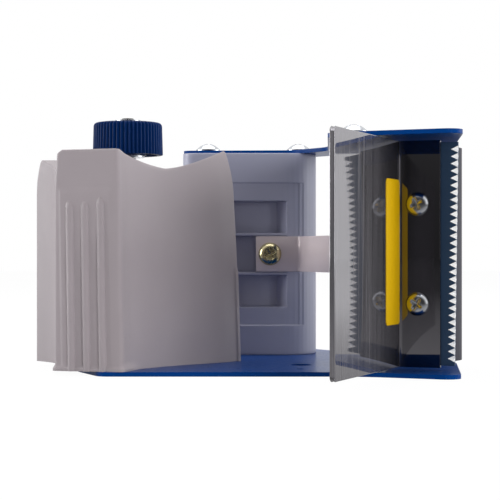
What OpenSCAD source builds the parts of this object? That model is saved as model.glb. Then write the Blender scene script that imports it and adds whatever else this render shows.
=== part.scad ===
// Hand-held packing tape dispenser for tape 75 mm wide, lying on its main side plate.
// Millimetres, +Z up along the hub axis. The origin is on the hub axis, on the underside of the main plate.
// +X points to the cutting end, -Y to the handle.

/* [Side plates] */
// Thickness of both steel side plates
plate_t = 1.5; // [1:0.1:2.5]
// Clear width between the plates
gap_w = 78; // [70:1:90]
// Radius of the main plate's round end under the hub
hub_end_r = 32; // [26:1:36]
// Radius around the hub axis kept free for the tape roll
roll_clear_r = 61; // [56:1:62]
// Distance that the plates stand proud of the blade's edge on the near side
blade_cover = 19.5; // [14:0.5:24]
// Radius of the round opening in the main plate
plate_hole_r = 3.7; // [2:0.1:5]
// Radius of the small locating hole beside it
pilot_r = 1.2; // [0.8:0.1:2]

/* [Handle] */
// Distance from the hub axis to the ribbed tip of the handle
handle_reach = 156; // [152:1:162]
// Width of the handle's tip
tip_w = 21.5; // [18:0.5:26]
// Set-back of the tip's left corner
tip_skew = 6.3; // [3:0.1:9]
// Radius of the hollow finger side
finger_r = 80; // [70:1:110]
// Height of the handle's tip above the main plate
handle_h = 74; // [66:1:76]
// Wall of the moulded handle
handle_wall = 2.4; // [1.8:0.1:3]
// Rise of the handle's top from its level middle to the tip
tip_rise = 5.2; // [3:0.1:7]
// Rise of the top to the right flare
right_rise = 7.3; // [4:0.1:8]
// Rise of the top to the left flare
left_rise = 5.1; // [3:0.1:7]
// Radius of the grip ribs on the tip
grip_rib_r = 1.3; // [0.8:0.1:1.8]
// Height of the grip ribs
grip_rib_h = 53; // [40:1:60]

/* [Housing] */
// Width of the moulded spacer housing
housing_w = 52; // [46:1:56]
// Distance of its front face from the hub axis
housing_front = 72; // [71:0.5:76]
// Depth of the hollow in its front face
hollow_depth = 9; // [6:0.5:11]
// Height of the hollow
hollow_h = 41; // [34:1:50]
// Depth of the step between the end panels and the middle band
band_step = 0.6; // [0.3:0.1:1]

/* [Hub and brake] */
// Outer radius of the drum that carries the tape core
hub_r = 37.6; // [36:0.1:38]
// Length of the drum
hub_len = 67; // [60:0.5:68]
// Wall of the drum
hub_wall = 2.6; // [2:0.1:4]
// Radius of the spindle's journal
journal_r = 5; // [4:0.1:6]
// Radius of the spindle's thread
thread_r = 2.5; // [2:0.1:3]
// Travel of the knob for one turn
thread_pitch = 0.8; // [0.5:0.05:1]
// Wire of the brake spring
spring_wire = 0.8; // [0.5:0.1:1]
// Turns of the brake spring
spring_turns = 7; // [5:1:9]

/* [Tension knob] */
// Radius of the knob at its foot
knob_r = 15.2; // [13:0.1:18]
// Height of the knob
knob_h = 14; // [11:0.5:18]
// Number of flutes round the knob
knob_flutes = 54; // [30:1:60]
// Height of the knob's foot above the main plate's underside
knob_z = 83.3; // [83:0.1:88]

/* [Roller] */
// Radius of the roller
roller_r = 14; // [11:0.5:16]
// Clearance between the roller and each plate
roller_side = 0.75; // [0.6:0.05:3]
// Wall of the roller's tube
roller_wall = 3; // [2:0.1:4]
// Radius of the roller's fixed axle
axle_r = 3; // [2.7:0.1:4]
// Roller axis, from the hub axis towards the cutting end
roller_x = 116; // [112:1:120]
// Roller axis, from the hub axis towards the handle
roller_y = -105; // [-110:1:-100]

/* [Blade guard] */
// Sheet of the bent guard
guard_t = 1.5; // [1:0.1:2]
// Clearance between the guard and each plate
guard_side = 0.8; // [0.5:0.1:4]
// Length of the panel that shields the hand
panel_len = 66.5; // [50:0.5:75]
// Angle of the panel from the Y axis
panel_angle = 22.5; // [18:0.5:28]
// Length of the seat under the blade
seat_len = 14; // [12:0.5:15]
// Angle of the seat from the X axis
seat_angle = 20; // [15:1:24]
// Line of the bend, from the hub axis towards the cutting end
bend_x = 103.5; // [102:0.1:105]
// Line of the bend, from the hub axis towards the handle
bend_y = -144; // [-146:0.5:-142]
// Radius of the pivot rod
pivot_r = 3; // [2.7:0.1:4]
// Distance of the pivot from the bend, towards the handle side
pivot_back = 15.7; // [14:0.1:17]
// Width of the blank yellow strip on the panel
marker_w = 15.2; // [8:0.1:18]
// Length of the blank yellow strip
marker_h = 48.6; // [30:0.2:60]

/* [Cutter blade] */
// Thickness of the blade
blade_t = 0.9; // [0.6:0.1:1.2]
// Reach of the blade past the seat's edge
blade_reach = 5.2; // [4:0.1:7]
// Depth of the ground teeth on the blade's near face
tooth_depth = 2.4; // [1.5:0.1:3]
// Pitch of the teeth
tooth_pitch = 2.42; // [1.8:0.02:2.42]
// Tilt of the blade on its screws, in degrees
blade_tilt = 0.9; // [0:0.1:1]
// Least distance from the blade's ends to the guard's
blade_side = 0.6; // [0:0.1:4]
// Distance between the two blade screws
blade_screw_gap = 33.6; // [24:0.2:44]

/* [Leaf spring] */
// Thickness of the leaf spring
leaf_t = 0.6; // [0.4:0.1:0.8]
// Width of the leaf spring
leaf_w = 13.6; // [12.5:0.1:15]
// Distance from the leaf spring's screw to its end
leaf_tab = 5.4; // [4.8:0.1:7]

/* [Fasteners] */
// Radius of the machine screws' threads
screw_r = 2; // [1.6:0.1:2.2]
// Radius of the domed heads on the outer plate
dome_r = 4.7; // [3.6:0.1:5]
// Height of the domed heads
dome_h = 3.1; // [2:0.1:3.6]
// Radius of the pan heads on the blade and the leaf spring
pan_r = 4; // [3.2:0.1:4.2]
// Height of the pan heads
pan_h = 2.4; // [1.8:0.1:3]
// Radius of the flush heads under the main plate
flush_r = 3.7; // [3.2:0.1:4.4]

/* [Hidden] */
$fn = 64;

// Clearances: a running fit, a fixed fit, and a cut's overshoot
run = 0.05;
fix = 0.02;
over = 1;

// Heights of the plates
z_in = plate_t;
z_out = plate_t + gap_w;
z_top = z_out + plate_t;
z_mid = plate_t + gap_w / 2;

// Lengths between the plates
roller_len = gap_w - 2 * roller_side;
guard_h = gap_w - 2 * guard_side;
tooth_count = floor((guard_h - 2 * blade_side) / tooth_pitch);

// Guard: unit vectors along the panel and the seat, and across the sheet behind them
panel_dir = [-sin(panel_angle), -cos(panel_angle)];
seat_dir = [cos(seat_angle), -sin(seat_angle)];
panel_back = [-cos(panel_angle), sin(panel_angle)];
seat_back = [sin(seat_angle), cos(seat_angle)];
bend_at = [bend_x, bend_y];
panel_end = bend_at + panel_len * panel_dir;
blade_tip = bend_at + (seat_len + blade_reach) * seat_dir;
pivot_at = [bend_x - pivot_back, bend_y - 4];
bend_r = 1.2;
ear_t = 1.5;
ear_r = 6.5;
ear_root = [4, 18];
marker_t = 0.2;
marker_edge = 0.4;
marker_rise = 0.7;
seat_screw_s = 6.3;
nut_r = 4;
nut_h = 3.2;
tooth_land = 0.06;
edge_land = 0.1;

// Handle outline: places across, and distances back from the tip
tip_x = 10.1;
finger_x = 40;
finger_back = 41;
flare_x = 47.3;
flare_back = 51;
handle_depth = 53;
left_x = -24.6;
left_back = 52;
waist_x = -16.4;
waist_back = 43;
tip_right = [tip_x, -handle_reach];
tip_left = [tip_right[0] - tip_w, tip_skew - handle_reach];
tip_round = 2.6;
finger_start = tip_right + [1.6, 6];
finger_end = [finger_x, finger_back - handle_reach];
flare_right = [flare_x, flare_back - handle_reach];
handle_back = handle_depth - handle_reach;
flare_left = [left_x, left_back - handle_reach];
waist_left = [waist_x, waist_back - handle_reach];
top_level = z_in + handle_h - tip_rise;
tip_run = 29.9;
tip_turn = atan2(tip_skew, tip_w);
right_run = 19.8;
left_run = 8.6;
rim_r = 36;
rim_z = z_mid + 22;
rib_places = [0.2, 0.45, 0.71];
lip = 0.8;
lip_h = 1.4;
handle_boss_r = 4.2;
handle_bosses = [tip_right + [-7, 11], flare_left + [14.6, -6], finger_end + [-9, 5]];
handle_screw_len = 14;
core_ribs = [-5, 13, 29];
core_rib_t = 1.8;

// Housing outline and hollow
housing_x0 = 27;
housing_x1 = housing_x0 + housing_w;
hollow_y = hollow_depth - housing_front;
hollow_margin = 11.7;
hollow_ramp = 3.7;
hollow_rib_h = hollow_depth - band_step;
hollow_rib_z = 7.6;
hollow_rib_t = 1.1;
band_h = 55;
housing_screws = [
    [housing_x0 + 9.5, 14 - housing_front],
    [housing_x1 - 6.8, 14 - housing_front]
];
leaf_screw_x = housing_x1 - 18.3;
leaf_boss_r = 4;
housing_screw_len = 14;

// Leaf spring path: flat on the housing's front, then straight to the back of the guard
leaf_y = hollow_y - hollow_rib_h - leaf_t / 2;
leaf_gap = 0.3;
leaf_end = bend_at + 3 * panel_dir + (guard_t + leaf_gap + leaf_t) * panel_back;
leaf_path = [
    [leaf_screw_x - leaf_tab, leaf_y, 0],
    [housing_x1 - 6.8, leaf_y, 1.5],
    leaf_end + [-5, 11],
    leaf_end
];

// Spindle stack, from the main plate upwards
flange_r = 16;
flange_t = 3;
friction_t = 1.5;
hub_z0 = z_in + flange_t + friction_t;
hub_z1 = hub_z0 + hub_len;
boss_len = 54;
boss_z1 = hub_z0 + boss_len;
boss_r = 12;
hub_web = 3;
bush_r = 7.5;
spokes = 6;
spoke_t = 2.4;
spoke_h = 36;
press_z0 = boss_z1 + friction_t;
press_t = 1.5;
press_r = 10;
journal_z1 = press_z0 - 0.3;
spring_gap = 0.1;
tension_t = 1;
tension_r = 7.5;
spring_z0 = press_z0 + press_t;
spring_z1 = knob_z - tension_t - spring_gap;
coil_r = thread_r + 0.2 + spring_wire / 2;
coil_rings = 8;
coil_sides = 6;
end_pitch = spring_wire + 0.5;
mid_pitch = (spring_z1 - spring_z0 - spring_wire - 2 * end_pitch) / (spring_turns - 2);
knob_z1 = knob_z + knob_h;
stop_gap = 0.1;
stop_t = 1.1;
stop_r = 5.6;
spindle_z1 = knob_z1 + stop_gap + stop_t + 0.7;
insert_r = 5;
insert_h = knob_h - 3.5;
flute_r = 0.55;
knob_taper = 0.4;
knob_edge = 1.6;

// Roller
roller_at = [roller_x, roller_y];
roller_bush_l = 8;
roller_bush_flange = 0.5;
rod_screw_len = 12;

// Points of an arc, and the short way round between two angles
function arc_points(c, r, a0, a1, n) =
    [for (i = [0:n]) let (a = a0 + (a1 - a0) * i / n) c + r * [cos(a), sin(a)]];
function short_turn(d) = d > 180 ? d - 360 : d < -180 ? d + 360 : d;
function flat(p) = [p[0], p[1]];

// Round one corner p between the points q and s, with the radius limited by the sides
function corner(p, q, s, r, n) =
    let (
        u = (q - p) / norm(q - p),
        v = (s - p) / norm(s - p),
        half = acos(max(-1, min(1, u * v))) / 2
    )
    r <= 0 || half > 89 ? [p] :
    let (
        reach = min(r / tan(half), 0.48 * norm(q - p), 0.48 * norm(s - p)),
        rr = reach * tan(half),
        c = p + (u + v) / norm(u + v) * rr / sin(half),
        m = p + u * reach - c,
        k = p + v * reach - c,
        a0 = atan2(m[1], m[0])
    )
    arc_points(c, rr, a0, a0 + short_turn(atan2(k[1], k[0]) - a0), n);

// Closed outline from [x, y, radius] points, and the same for an open path
function rounded(pts, n = 6) =
    let (m = len(pts))
    [for (i = [0:m - 1]) each corner(
        flat(pts[i]), flat(pts[(i + m - 1) % m]), flat(pts[(i + 1) % m]), pts[i][2], n)];
function rounded_path(pts, n = 6) =
    let (m = len(pts))
    [for (i = [0:m - 1]) each i == 0 || i == m - 1
        ? [flat(pts[i])]
        : corner(flat(pts[i]), flat(pts[i - 1]), flat(pts[i + 1]), len(pts[i]) > 2 ? pts[i][2] : 4, n)];

// Outline of a strip of thickness t laid along a path
function path_normal(p, i) =
    let (
        a = p[max(i - 1, 0)],
        b = p[min(i + 1, len(p) - 1)],
        d = (b - a) / norm(b - a)
    )
    [-d[1], d[0]];
function strip(p, t) = concat(
    [for (i = [0:len(p) - 1]) p[i] + path_normal(p, i) * t / 2],
    [for (i = [len(p) - 1:-1:0]) p[i] - path_normal(p, i) * t / 2]
);

// Centre of the arc of radius r through a and b that lies to the right of the way from a to b
function arc_centre(a, b, r) =
    let (d = (b - a) / norm(b - a), h = sqrt(r * r - pow(norm(b - a) / 2, 2)))
    (a + b) / 2 + h * [d[1], -d[0]];
function bearing(c, p) = atan2(p[1] - c[1], p[0] - c[0]);

// Arc of the roll's clear circle, as the far edge of the outer plate and the housing
function roll_edge(x0, x1, r) = arc_points([0, 0], r, -acos(x1 / r), -acos(x0 / r), 8);

// Brake spring: height after t turns, with a close turn at each end
function coil_rise(t) =
    t < 1 ? t * end_pitch :
    t < spring_turns - 1 ? end_pitch + (t - 1) * mid_pitch :
    end_pitch + (spring_turns - 2) * mid_pitch + (t - spring_turns + 1) * end_pitch;
function coil_point(i) =
    let (t = i / coil_rings, a = 360 * t)
    [coil_r * cos(a), coil_r * sin(a), spring_z0 + spring_wire / 2 + coil_rise(t)];
function coil_ring(i) =
    let (a = 360 * i / coil_rings)
    [for (k = [0:coil_sides - 1]) let (b = 360 * k / coil_sides)
        coil_point(i) + spring_wire / 2 * [cos(b) * cos(a), cos(b) * sin(a), sin(b)]];
coil_count = spring_turns * coil_rings;
coil_gap = min([for (i = [0:coil_count], j = [0:coil_count])
    if (j - i > coil_rings / 2) norm(coil_point(i) - coil_point(j))]) - spring_wire;
echo("least gap of the brake spring to itself, mm", coil_gap);

module plate(outline, z) {
    translate([0, 0, z])
        linear_extrude(plate_t)
            polygon(outline);
}

module at(p, z = 0) {
    translate([p[0], p[1], z])
        children();
}

// Cross recess, cut downwards from z = 0
module cross(width, depth) {
    for (a = [0, 90])
        rotate(a)
            translate([-width / 2, -width / 8, -depth])
                cube([width, width / 4, depth + over]);
}

// Screws point down from z = 0, the face that the head seats on
module dome_screw(length) {
    ball_r = (dome_r * dome_r + dome_h * dome_h) / (2 * dome_h);
    difference() {
        union() {
            intersection() {
                translate([0, 0, dome_h - ball_r])
                    sphere(ball_r);
                cylinder(r = dome_r, h = dome_h + over);
            }
            translate([0, 0, -length])
                cylinder(r = screw_r, h = length + dome_h / 2);
        }
        translate([0, 0, dome_h])
            cross(dome_r, dome_h / 2);
    }
}

module pan_screw(length, radius) {
    difference() {
        union() {
            rotate_extrude()
                polygon(concat([[0, 0]], corner([radius, pan_h], [radius, 0], [0, pan_h], pan_h * 0.6, 6),
                    [[0, pan_h]], [[0, 0]]));
            cylinder(r = radius, h = pan_h / 3);
            translate([0, 0, -length])
                cylinder(r = screw_r, h = length + pan_h / 3);
        }
        translate([0, 0, pan_h])
            cross(radius, pan_h / 2);
    }
}

// Flush screw: its flat face is at z = 0 and it points up
module flush_screw(length) {
    difference() {
        union() {
            cylinder(r1 = flush_r, r2 = screw_r, h = plate_t);
            cylinder(r = screw_r, h = length);
        }
        rotate([180, 0, 0])
            cross(flush_r, plate_t / 2);
    }
}

module flush_hole() {
    translate([0, 0, -over])
        cylinder(r = screw_r + fix, h = plate_t + 2 * over);
    cylinder(r1 = flush_r + fix, r2 = screw_r + fix, h = plate_t);
    translate([0, 0, -over])
        cylinder(r = flush_r + fix, h = over);
}

// Outline of the main plate: foot under the blade, roller end, round hub end, neck beside the handle
function main_outline() = rounded([
    [tip_right[0] - 7, -handle_reach, 5],
    [bend_x - 14, -handle_reach, 40],
    [blade_tip[0] - 0.6, blade_tip[1] - blade_cover, 5],
    [roller_x + roller_r - 3, roller_y - 8, 12],
    [roller_x + 2, roller_y + 16, 16],
    [hub_end_r, hub_end_r, hub_end_r],
    [-hub_end_r, hub_end_r, hub_end_r],
    [flare_left[0] - 2, handle_back + 31, 40],
    [waist_left[0] + 11, tip_left[1] + 13, 12]
], 8);

module main_plate() {
    color("#0f3f86")
        difference() {
            plate(main_outline(), 0);
            for (p = concat(housing_screws, handle_bosses, [pivot_at, roller_at]))
                at(p)
                    flush_hole();
            at([housing_x0 + 44, handle_back - 20], -over)
                cylinder(r = plate_hole_r, h = plate_t + 2 * over);
            at([housing_x0 + 43, handle_back - 39], -over)
                cylinder(r = pilot_r, h = plate_t + 2 * over);
        }
}

// Outline of the outer plate: strip over the housing, round the roll, arm to the roller and the blade
function outer_outline() = rounded(concat([
    [housing_x0, 9 - housing_front, 3],
    [housing_x1 - 9.2, 6.5 - housing_front, 8],
    [housing_x1 + 3.5, -housing_front - 11.5, 14],
    [pivot_at[0] - 9, pivot_at[1] - 4.5, 8],
    [blade_tip[0], blade_tip[1] - blade_cover - 0.5, 5],
    [roller_x + roller_r - 3.5, roller_y - 8, 12],
    [roller_x + 1, roller_y + 15, 14],
    [housing_x1 - 9, 34 - housing_front, 14]
], [for (p = roll_edge(housing_x0, roll_clear_r * 0.8, roll_clear_r)) [p[0], p[1], 0]]), 8);

module outer_plate() {
    color("#0f3f86")
        difference() {
            plate(outer_outline(), z_out);
            for (p = concat(housing_screws, [pivot_at, roller_at]))
                at(p, z_out - over)
                    cylinder(r = screw_r + fix, h = plate_t + 2 * over);
        }
}

function housing_outline() = rounded(concat([
    [housing_x0, -housing_front, 6],
    [housing_x1, -housing_front, 6],
    [housing_x1, 27 - housing_front, 9]
], [for (p = roll_edge(housing_x0, roll_clear_r * 0.78, roll_clear_r)) [p[0], p[1], 0]]), 8);

// Hollow in the housing's front, with sloping ends
module housing_hollow() {
    x0 = housing_x0 + hollow_margin;
    x1 = housing_x1 - hollow_margin;
    translate([0, 0, z_mid - hollow_h / 2])
        linear_extrude(hollow_h)
            polygon(rounded([
                [x0, -housing_front - over, 0],
                [x1, -housing_front - over, 0],
                [x1 - hollow_ramp, hollow_y, 0.8],
                [x0 + hollow_ramp, hollow_y, 0.8]
            ], 4));
}

module body_housing() {
    color("#a9adc0")
        difference() {
            union() {
                difference() {
                    translate([0, 0, z_in])
                        linear_extrude(gap_w)
                            polygon(housing_outline());
                    translate([housing_x0 - over, -housing_front - over, z_mid - band_h / 2])
                        cube([housing_w + 2 * over, band_step + over, band_h]);
                    housing_hollow();
                }
                for (s = [-1, 1])
                    translate([
                        housing_x0 + hollow_margin,
                        hollow_y - hollow_rib_h,
                        z_mid + s * hollow_rib_z - hollow_rib_t / 2
                    ])
                        cube([housing_w - 2 * hollow_margin, hollow_rib_h + over, hollow_rib_t]);
                translate([leaf_screw_x, hollow_y + over, z_mid])
                    rotate([90, 0, 0])
                        cylinder(r = leaf_boss_r, h = hollow_rib_h + over);
            }
            for (p = housing_screws) {
                at(p, z_in - over)
                    cylinder(r = screw_r + fix, h = housing_screw_len + over);
                at(p, z_out - housing_screw_len)
                    cylinder(r = screw_r + fix, h = housing_screw_len + over);
            }
            translate([leaf_screw_x, hollow_y + 8, z_mid])
                rotate([90, 0, 0])
                    cylinder(r = screw_r + fix, h = 8 + hollow_rib_h + over);
        }
}

function handle_outline() =
    let (c = arc_centre(finger_start, finger_end, finger_r))
    concat(
        corner(tip_left, waist_left, tip_right, tip_round / 3, 4),
        corner(tip_right, tip_left, finger_start, tip_round, 6),
        arc_points(c, finger_r, bearing(c, finger_start), bearing(c, finger_end), 12),
        corner(flare_right, finger_end, [flare_right[0] - 3, handle_back], 1, 4),
        [[flare_right[0] - 3, handle_back], [flare_left[0] + 3, handle_back]],
        corner(flare_left, [flare_left[0] + 3, handle_back], waist_left, 1, 4),
        corner(waist_left, flare_left, tip_left, 30, 6)
    );

// Block under one rise of the handle's top, which climbs along +X as a power of the distance
module rise_block(rise, run, power, width) {
    reach = 1.5 * run;
    rotate([90, 0, 0])
        translate([0, 0, -width / 2])
            linear_extrude(width)
                polygon(concat(
                    [[0, -handle_h]],
                    [[reach, -handle_h]],
                    [for (i = [10:-1:0]) [reach * i / 10, rise * pow(i / 10 * reach / run, power)]]
                ));
}

// Space under the handle's top, level in the middle with three rises: `cut` lowers it and thins the far rim
module handle_space(cut) {
    span = 2 * (flare_right[0] - flare_left[0]);
    lean = asin((z_top - rim_z) / rim_r);
    intersection() {
        translate([-span / 2, 0, rim_z])
            rotate([90, 0, 90])
                linear_extrude(span)
                    polygon(concat(
                        [[-2 * handle_reach, -handle_h], [handle_back + over - cut, -handle_h]],
                        arc_points([handle_back - cut - rim_r, 0], rim_r, 0, lean, 8),
                        [[-2 * handle_reach, z_top - rim_z]]
                    ));
        translate([0, 0, top_level - cut]) {
            translate([-span / 2, -1.5 * handle_reach, -handle_h])
                cube([span, 1.5 * handle_reach, handle_h]);
            translate([tip_right[0], tip_right[1], 0])
                rotate(-90 - tip_turn)
                    translate([-tip_run, 0, 0])
                        rise_block(tip_rise, tip_run, 1.2, 2 * span);
            translate([finger_end[0] + 3 - right_run, -handle_reach, 0])
                rise_block(right_rise, right_run, 1.48, 2 * handle_reach);
            translate([flare_left[0] + 3 + left_run, -handle_reach, 0])
                rotate(180)
                    rise_block(left_rise, left_run, 1.39, 2 * handle_reach);
        }
    }
}

module handle_shell() {
    color("#b8b2b2")
        difference() {
            union() {
                difference() {
                    intersection() {
                        translate([0, 0, z_in])
                            linear_extrude(gap_w)
                                polygon(handle_outline());
                        handle_space(0);
                    }
                    difference() {
                        intersection() {
                            translate([0, 0, z_in - over])
                                linear_extrude(gap_w)
                                    offset(delta = -handle_wall)
                                        polygon(handle_outline());
                            handle_space(handle_wall);
                        }
                        for (x = core_ribs)
                            translate([x, -handle_reach, z_in])
                                cube([core_rib_t, handle_reach, handle_h]);
                        for (p = handle_bosses)
                            at(p, z_in)
                                cylinder(r = handle_boss_r, h = handle_h);
                    }
                }
                for (f = rib_places)
                    at(tip_left + f * (tip_right - tip_left), z_in) {
                        cylinder(r = grip_rib_r, h = grip_rib_h);
                        translate([0, 0, grip_rib_h])
                            sphere(grip_rib_r);
                    }
                translate([0, 0, z_in])
                    linear_extrude(lip_h)
                        intersection() {
                            offset(delta = lip)
                                polygon(handle_outline());
                            translate([tip_left[0] - 5, -handle_reach - 5])
                                square([tip_w + 8, tip_skew + 7]);
                            difference() {
                                offset(delta = lip)
                                    polygon(handle_outline());
                                offset(delta = -handle_wall / 2)
                                    polygon(handle_outline());
                            }
                        }
            }
            for (p = handle_bosses)
                at(p, z_in - over)
                    cylinder(r = screw_r + fix, h = handle_screw_len + over);
        }
}

module handle_screws() {
    color("#8d9096")
        for (p = handle_bosses)
            at(p)
                flush_screw(handle_screw_len);
}

module main_plate_screws() {
    color("#8d9096") {
        for (p = housing_screws)
            at(p)
                flush_screw(housing_screw_len);
        for (p = [pivot_at, roller_at])
            at(p)
                flush_screw(rod_screw_len);
    }
}

module outer_plate_screws() {
    color("#d5d7da") {
        for (p = housing_screws)
            at(p, z_top)
                dome_screw(housing_screw_len);
        for (p = [pivot_at, roller_at])
            at(p, z_top)
                dome_screw(rod_screw_len);
    }
}

// Round rod between the plates, tapped at both ends
module tapped_rod(p, radius) {
    difference() {
        at(p, z_in)
            cylinder(r = radius, h = gap_w);
        for (z = [z_in - over, z_out - rod_screw_len])
            at(p, z)
                cylinder(r = screw_r + fix, h = rod_screw_len + over);
    }
}

module guard_pivot_rod() {
    color("#b9bcc0")
        tapped_rod(pivot_at, pivot_r);
}

module roller_axle() {
    color("#b9bcc0")
        tapped_rod(roller_at, axle_r);
}

module leaf_spring() {
    color("#a49a99")
        difference() {
            translate([0, 0, z_mid - leaf_w / 2])
                linear_extrude(leaf_w)
                    polygon(strip(rounded_path(leaf_path), leaf_t));
            translate([leaf_screw_x, leaf_y + over, z_mid])
                rotate([90, 0, 0])
                    cylinder(r = screw_r + fix, h = 2 * over);
        }
}

module leaf_spring_screw() {
    color("#c9b56a")
        translate([leaf_screw_x, leaf_y - leaf_t / 2, z_mid])
            rotate([90, 0, 0])
                pan_screw(12, pan_r + 0.4);
}

module spindle() {
    color("#3a3c40") {
        translate([0, 0, z_in])
            cylinder(r = flange_r, h = flange_t);
        translate([0, 0, z_in])
            cylinder(r = journal_r, h = journal_z1 - z_in);
        translate([0, 0, z_in])
            cylinder(r = thread_r, h = spindle_z1 - z_in);
    }
}

module ring(outer, inner, z0, h) {
    translate([0, 0, z0])
        difference() {
            cylinder(r = outer, h = h);
            translate([0, 0, -over])
                cylinder(r = inner, h = h + 2 * over);
        }
}

module lower_friction_washer() {
    color("#6b4b36")
        ring(flange_r, journal_r + run, z_in + flange_t, friction_t);
}

module upper_friction_washer() {
    color("#6b4b36")
        ring(boss_r, journal_r + run, boss_z1, friction_t);
}

module pressure_plate() {
    color("#b9bcc0")
        ring(press_r, thread_r + run, press_z0, press_t);
}

// One unbroken tube, swept along the coil
module brake_spring() {
    last = coil_count * coil_sides;
    color("#9a9ca0")
        polyhedron(
            points = [for (i = [0:coil_count]) each coil_ring(i)],
            faces = concat(
                [for (i = [0:coil_count - 1], k = [0:coil_sides - 1], h = [0, 1])
                    let (
                        m = (k + 1) % coil_sides,
                        a = i * coil_sides + k,
                        b = i * coil_sides + m,
                        c = b + coil_sides,
                        d = a + coil_sides
                    )
                    h == 0 ? [a, b, c] : [a, c, d]],
                [for (k = [1:coil_sides - 2]) [0, k + 1, k]],
                [for (k = [1:coil_sides - 2]) [last, last + k, last + k + 1]]
            )
        );
}

module spindle_stop_nut() {
    color("#d5d7da")
        ring(stop_r, thread_r + fix, knob_z1 + stop_gap, stop_t);
}

module hub_drum() {
    color("#c7c9cf")
        difference() {
            union() {
                difference() {
                    rotate_extrude($fn = 128)
                        polygon([
                            [0, hub_z0],
                            [hub_r - 1, hub_z0],
                            [hub_r, hub_z0 + 1],
                            [hub_r, hub_z1 - 2],
                            [hub_r - 1.5, hub_z1],
                            [0, hub_z1]
                        ]);
                    translate([0, 0, hub_z0 + hub_web])
                        cylinder(r = hub_r - hub_wall, h = hub_len);
                }
                translate([0, 0, hub_z0])
                    cylinder(r = boss_r, h = boss_z1 - hub_z0);
                for (i = [0:spokes - 1])
                    rotate(360 * i / spokes)
                        translate([boss_r - over, -spoke_t / 2, hub_z0 + hub_web - over])
                            cube([hub_r - hub_wall - boss_r + 2 * over, spoke_t, spoke_h + over]);
            }
            translate([0, 0, hub_z0 - over])
                cylinder(r = bush_r, h = boss_z1 - hub_z0 + 2 * over);
        }
}

module hub_bush() {
    color("#d9b25f")
        ring(bush_r, journal_r + run, hub_z0, boss_z1 - hub_z0);
}

module roller_tube() {
    color("#7f8390")
        at(roller_at)
            ring(roller_r, roller_r - roller_wall, z_mid - roller_len / 2, roller_len);
}

module roller_bushes() {
    color("#e6e4dc")
        for (s = [0, 1])
            at(roller_at, z_mid)
                rotate([180 * s, 0, 0])
                    translate([0, 0, -roller_len / 2])
                        difference() {
                            union() {
                                cylinder(r = roller_r - roller_wall, h = roller_bush_l);
                                translate([0, 0, -roller_bush_flange])
                                    cylinder(r = axle_r + 3, h = roller_bush_flange + over);
                            }
                            translate([0, 0, -over])
                                cylinder(r = axle_r + run, h = roller_bush_l + 2 * over);
                        }
}

// Centre line of the guard's sheet, from the panel's free edge round the bend to the seat's edge
function guard_path() =
    let (mid = bend_at + (panel_back + seat_back) / (1 + panel_back * seat_back) * guard_t / 2)
    rounded_path([
        panel_end + panel_back * guard_t / 2,
        concat(mid, [bend_r]),
        bend_at + seat_len * seat_dir + seat_back * guard_t / 2
    ], 8);

// Lug that carries the guard on its pivot rod
module guard_ear(z) {
    inner = panel_back * guard_t / 2;
    translate([0, 0, z])
        linear_extrude(ear_t) {
            at(pivot_at)
                circle(ear_r);
            polygon([
                pivot_at - ear_r * panel_dir,
                pivot_at + ear_r * panel_dir,
                bend_at + ear_root[1] * panel_dir + inner,
                bend_at + ear_root[0] * panel_dir + inner
            ]);
        }
}

// Frame of the seat: x along the seat, y up the guard, z towards its near face
module on_seat(s, z) {
    at(bend_at + s * seat_dir, z)
        rotate(-seat_angle)
            rotate([90, 0, 0])
                children();
}

module seat_holes() {
    for (k = [-1, 1])
        on_seat(seat_screw_s, z_mid + k * blade_screw_gap / 2)
            translate([0, 0, -5])
                cylinder(r = screw_r + fix, h = 10);
}

module blade_guard() {
    color("#c3c4c8")
        difference() {
            union() {
                translate([0, 0, z_mid - guard_h / 2])
                    linear_extrude(guard_h)
                        polygon(strip(guard_path(), guard_t));
                guard_ear(z_mid - guard_h / 2);
                guard_ear(z_mid + guard_h / 2 - ear_t);
            }
            at(pivot_at)
                cylinder(r = pivot_r + run, h = z_top);
            seat_holes();
        }
}

// One ground notch between two teeth: its floor falls from the near face to the far side of the edge
module notch(y) {
    half = tooth_pitch / 2 - tooth_land;
    deep = blade_t - edge_land;
    floor_len = norm([tooth_depth, deep]);
    rise = tooth_depth * deep / floor_len;
    translate([-tooth_depth, y, 0])
        rotate([0, atan2(deep, tooth_depth), 0])
            rotate([90, 0, 90])
                linear_extrude(2 * floor_len)
                    polygon([[0, 0], [3 * half, 3 * rise], [-3 * half, 3 * rise]]);
}

module cutter_blade() {
    length = tooth_count * tooth_pitch;
    tip = seat_len + blade_reach;
    root = bend_r + 1.5;
    color("#2b3a4c")
        difference() {
            on_seat(tip, z_mid)
                translate([0, 0, -guard_t])
                    rotate(-blade_tilt)
                        difference() {
                            translate([root - tip, -length / 2, -blade_t])
                                cube([tip - root, length, blade_t]);
                            for (i = [1:tooth_count - 1])
                                notch(i * tooth_pitch - length / 2);
                        }
            seat_holes();
        }
}

module blade_screws() {
    color("#cfd1d4")
        for (k = [-1, 1])
            on_seat(seat_screw_s, z_mid + k * blade_screw_gap / 2)
                pan_screw(guard_t + blade_t + nut_h, pan_r);
}

module blade_nuts() {
    color("#9da0a5")
        for (k = [-1, 1])
            on_seat(seat_screw_s, z_mid + k * blade_screw_gap / 2)
                translate([0, 0, -guard_t - blade_t - nut_h])
                    difference() {
                        cylinder(r = nut_r, h = nut_h, $fn = 6);
                        translate([0, 0, -over])
                            cylinder(r = screw_r + fix, h = nut_h + 2 * over);
                    }
}

module guard_marker() {
    start = bend_at + marker_edge * panel_dir;
    color("#f2c200")
        translate([0, 0, z_mid + marker_rise - marker_h / 2])
            linear_extrude(marker_h)
                polygon([
                    start,
                    start - marker_t * panel_back,
                    start - marker_t * panel_back + marker_w * panel_dir,
                    start + marker_w * panel_dir
                ]);
}

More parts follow.
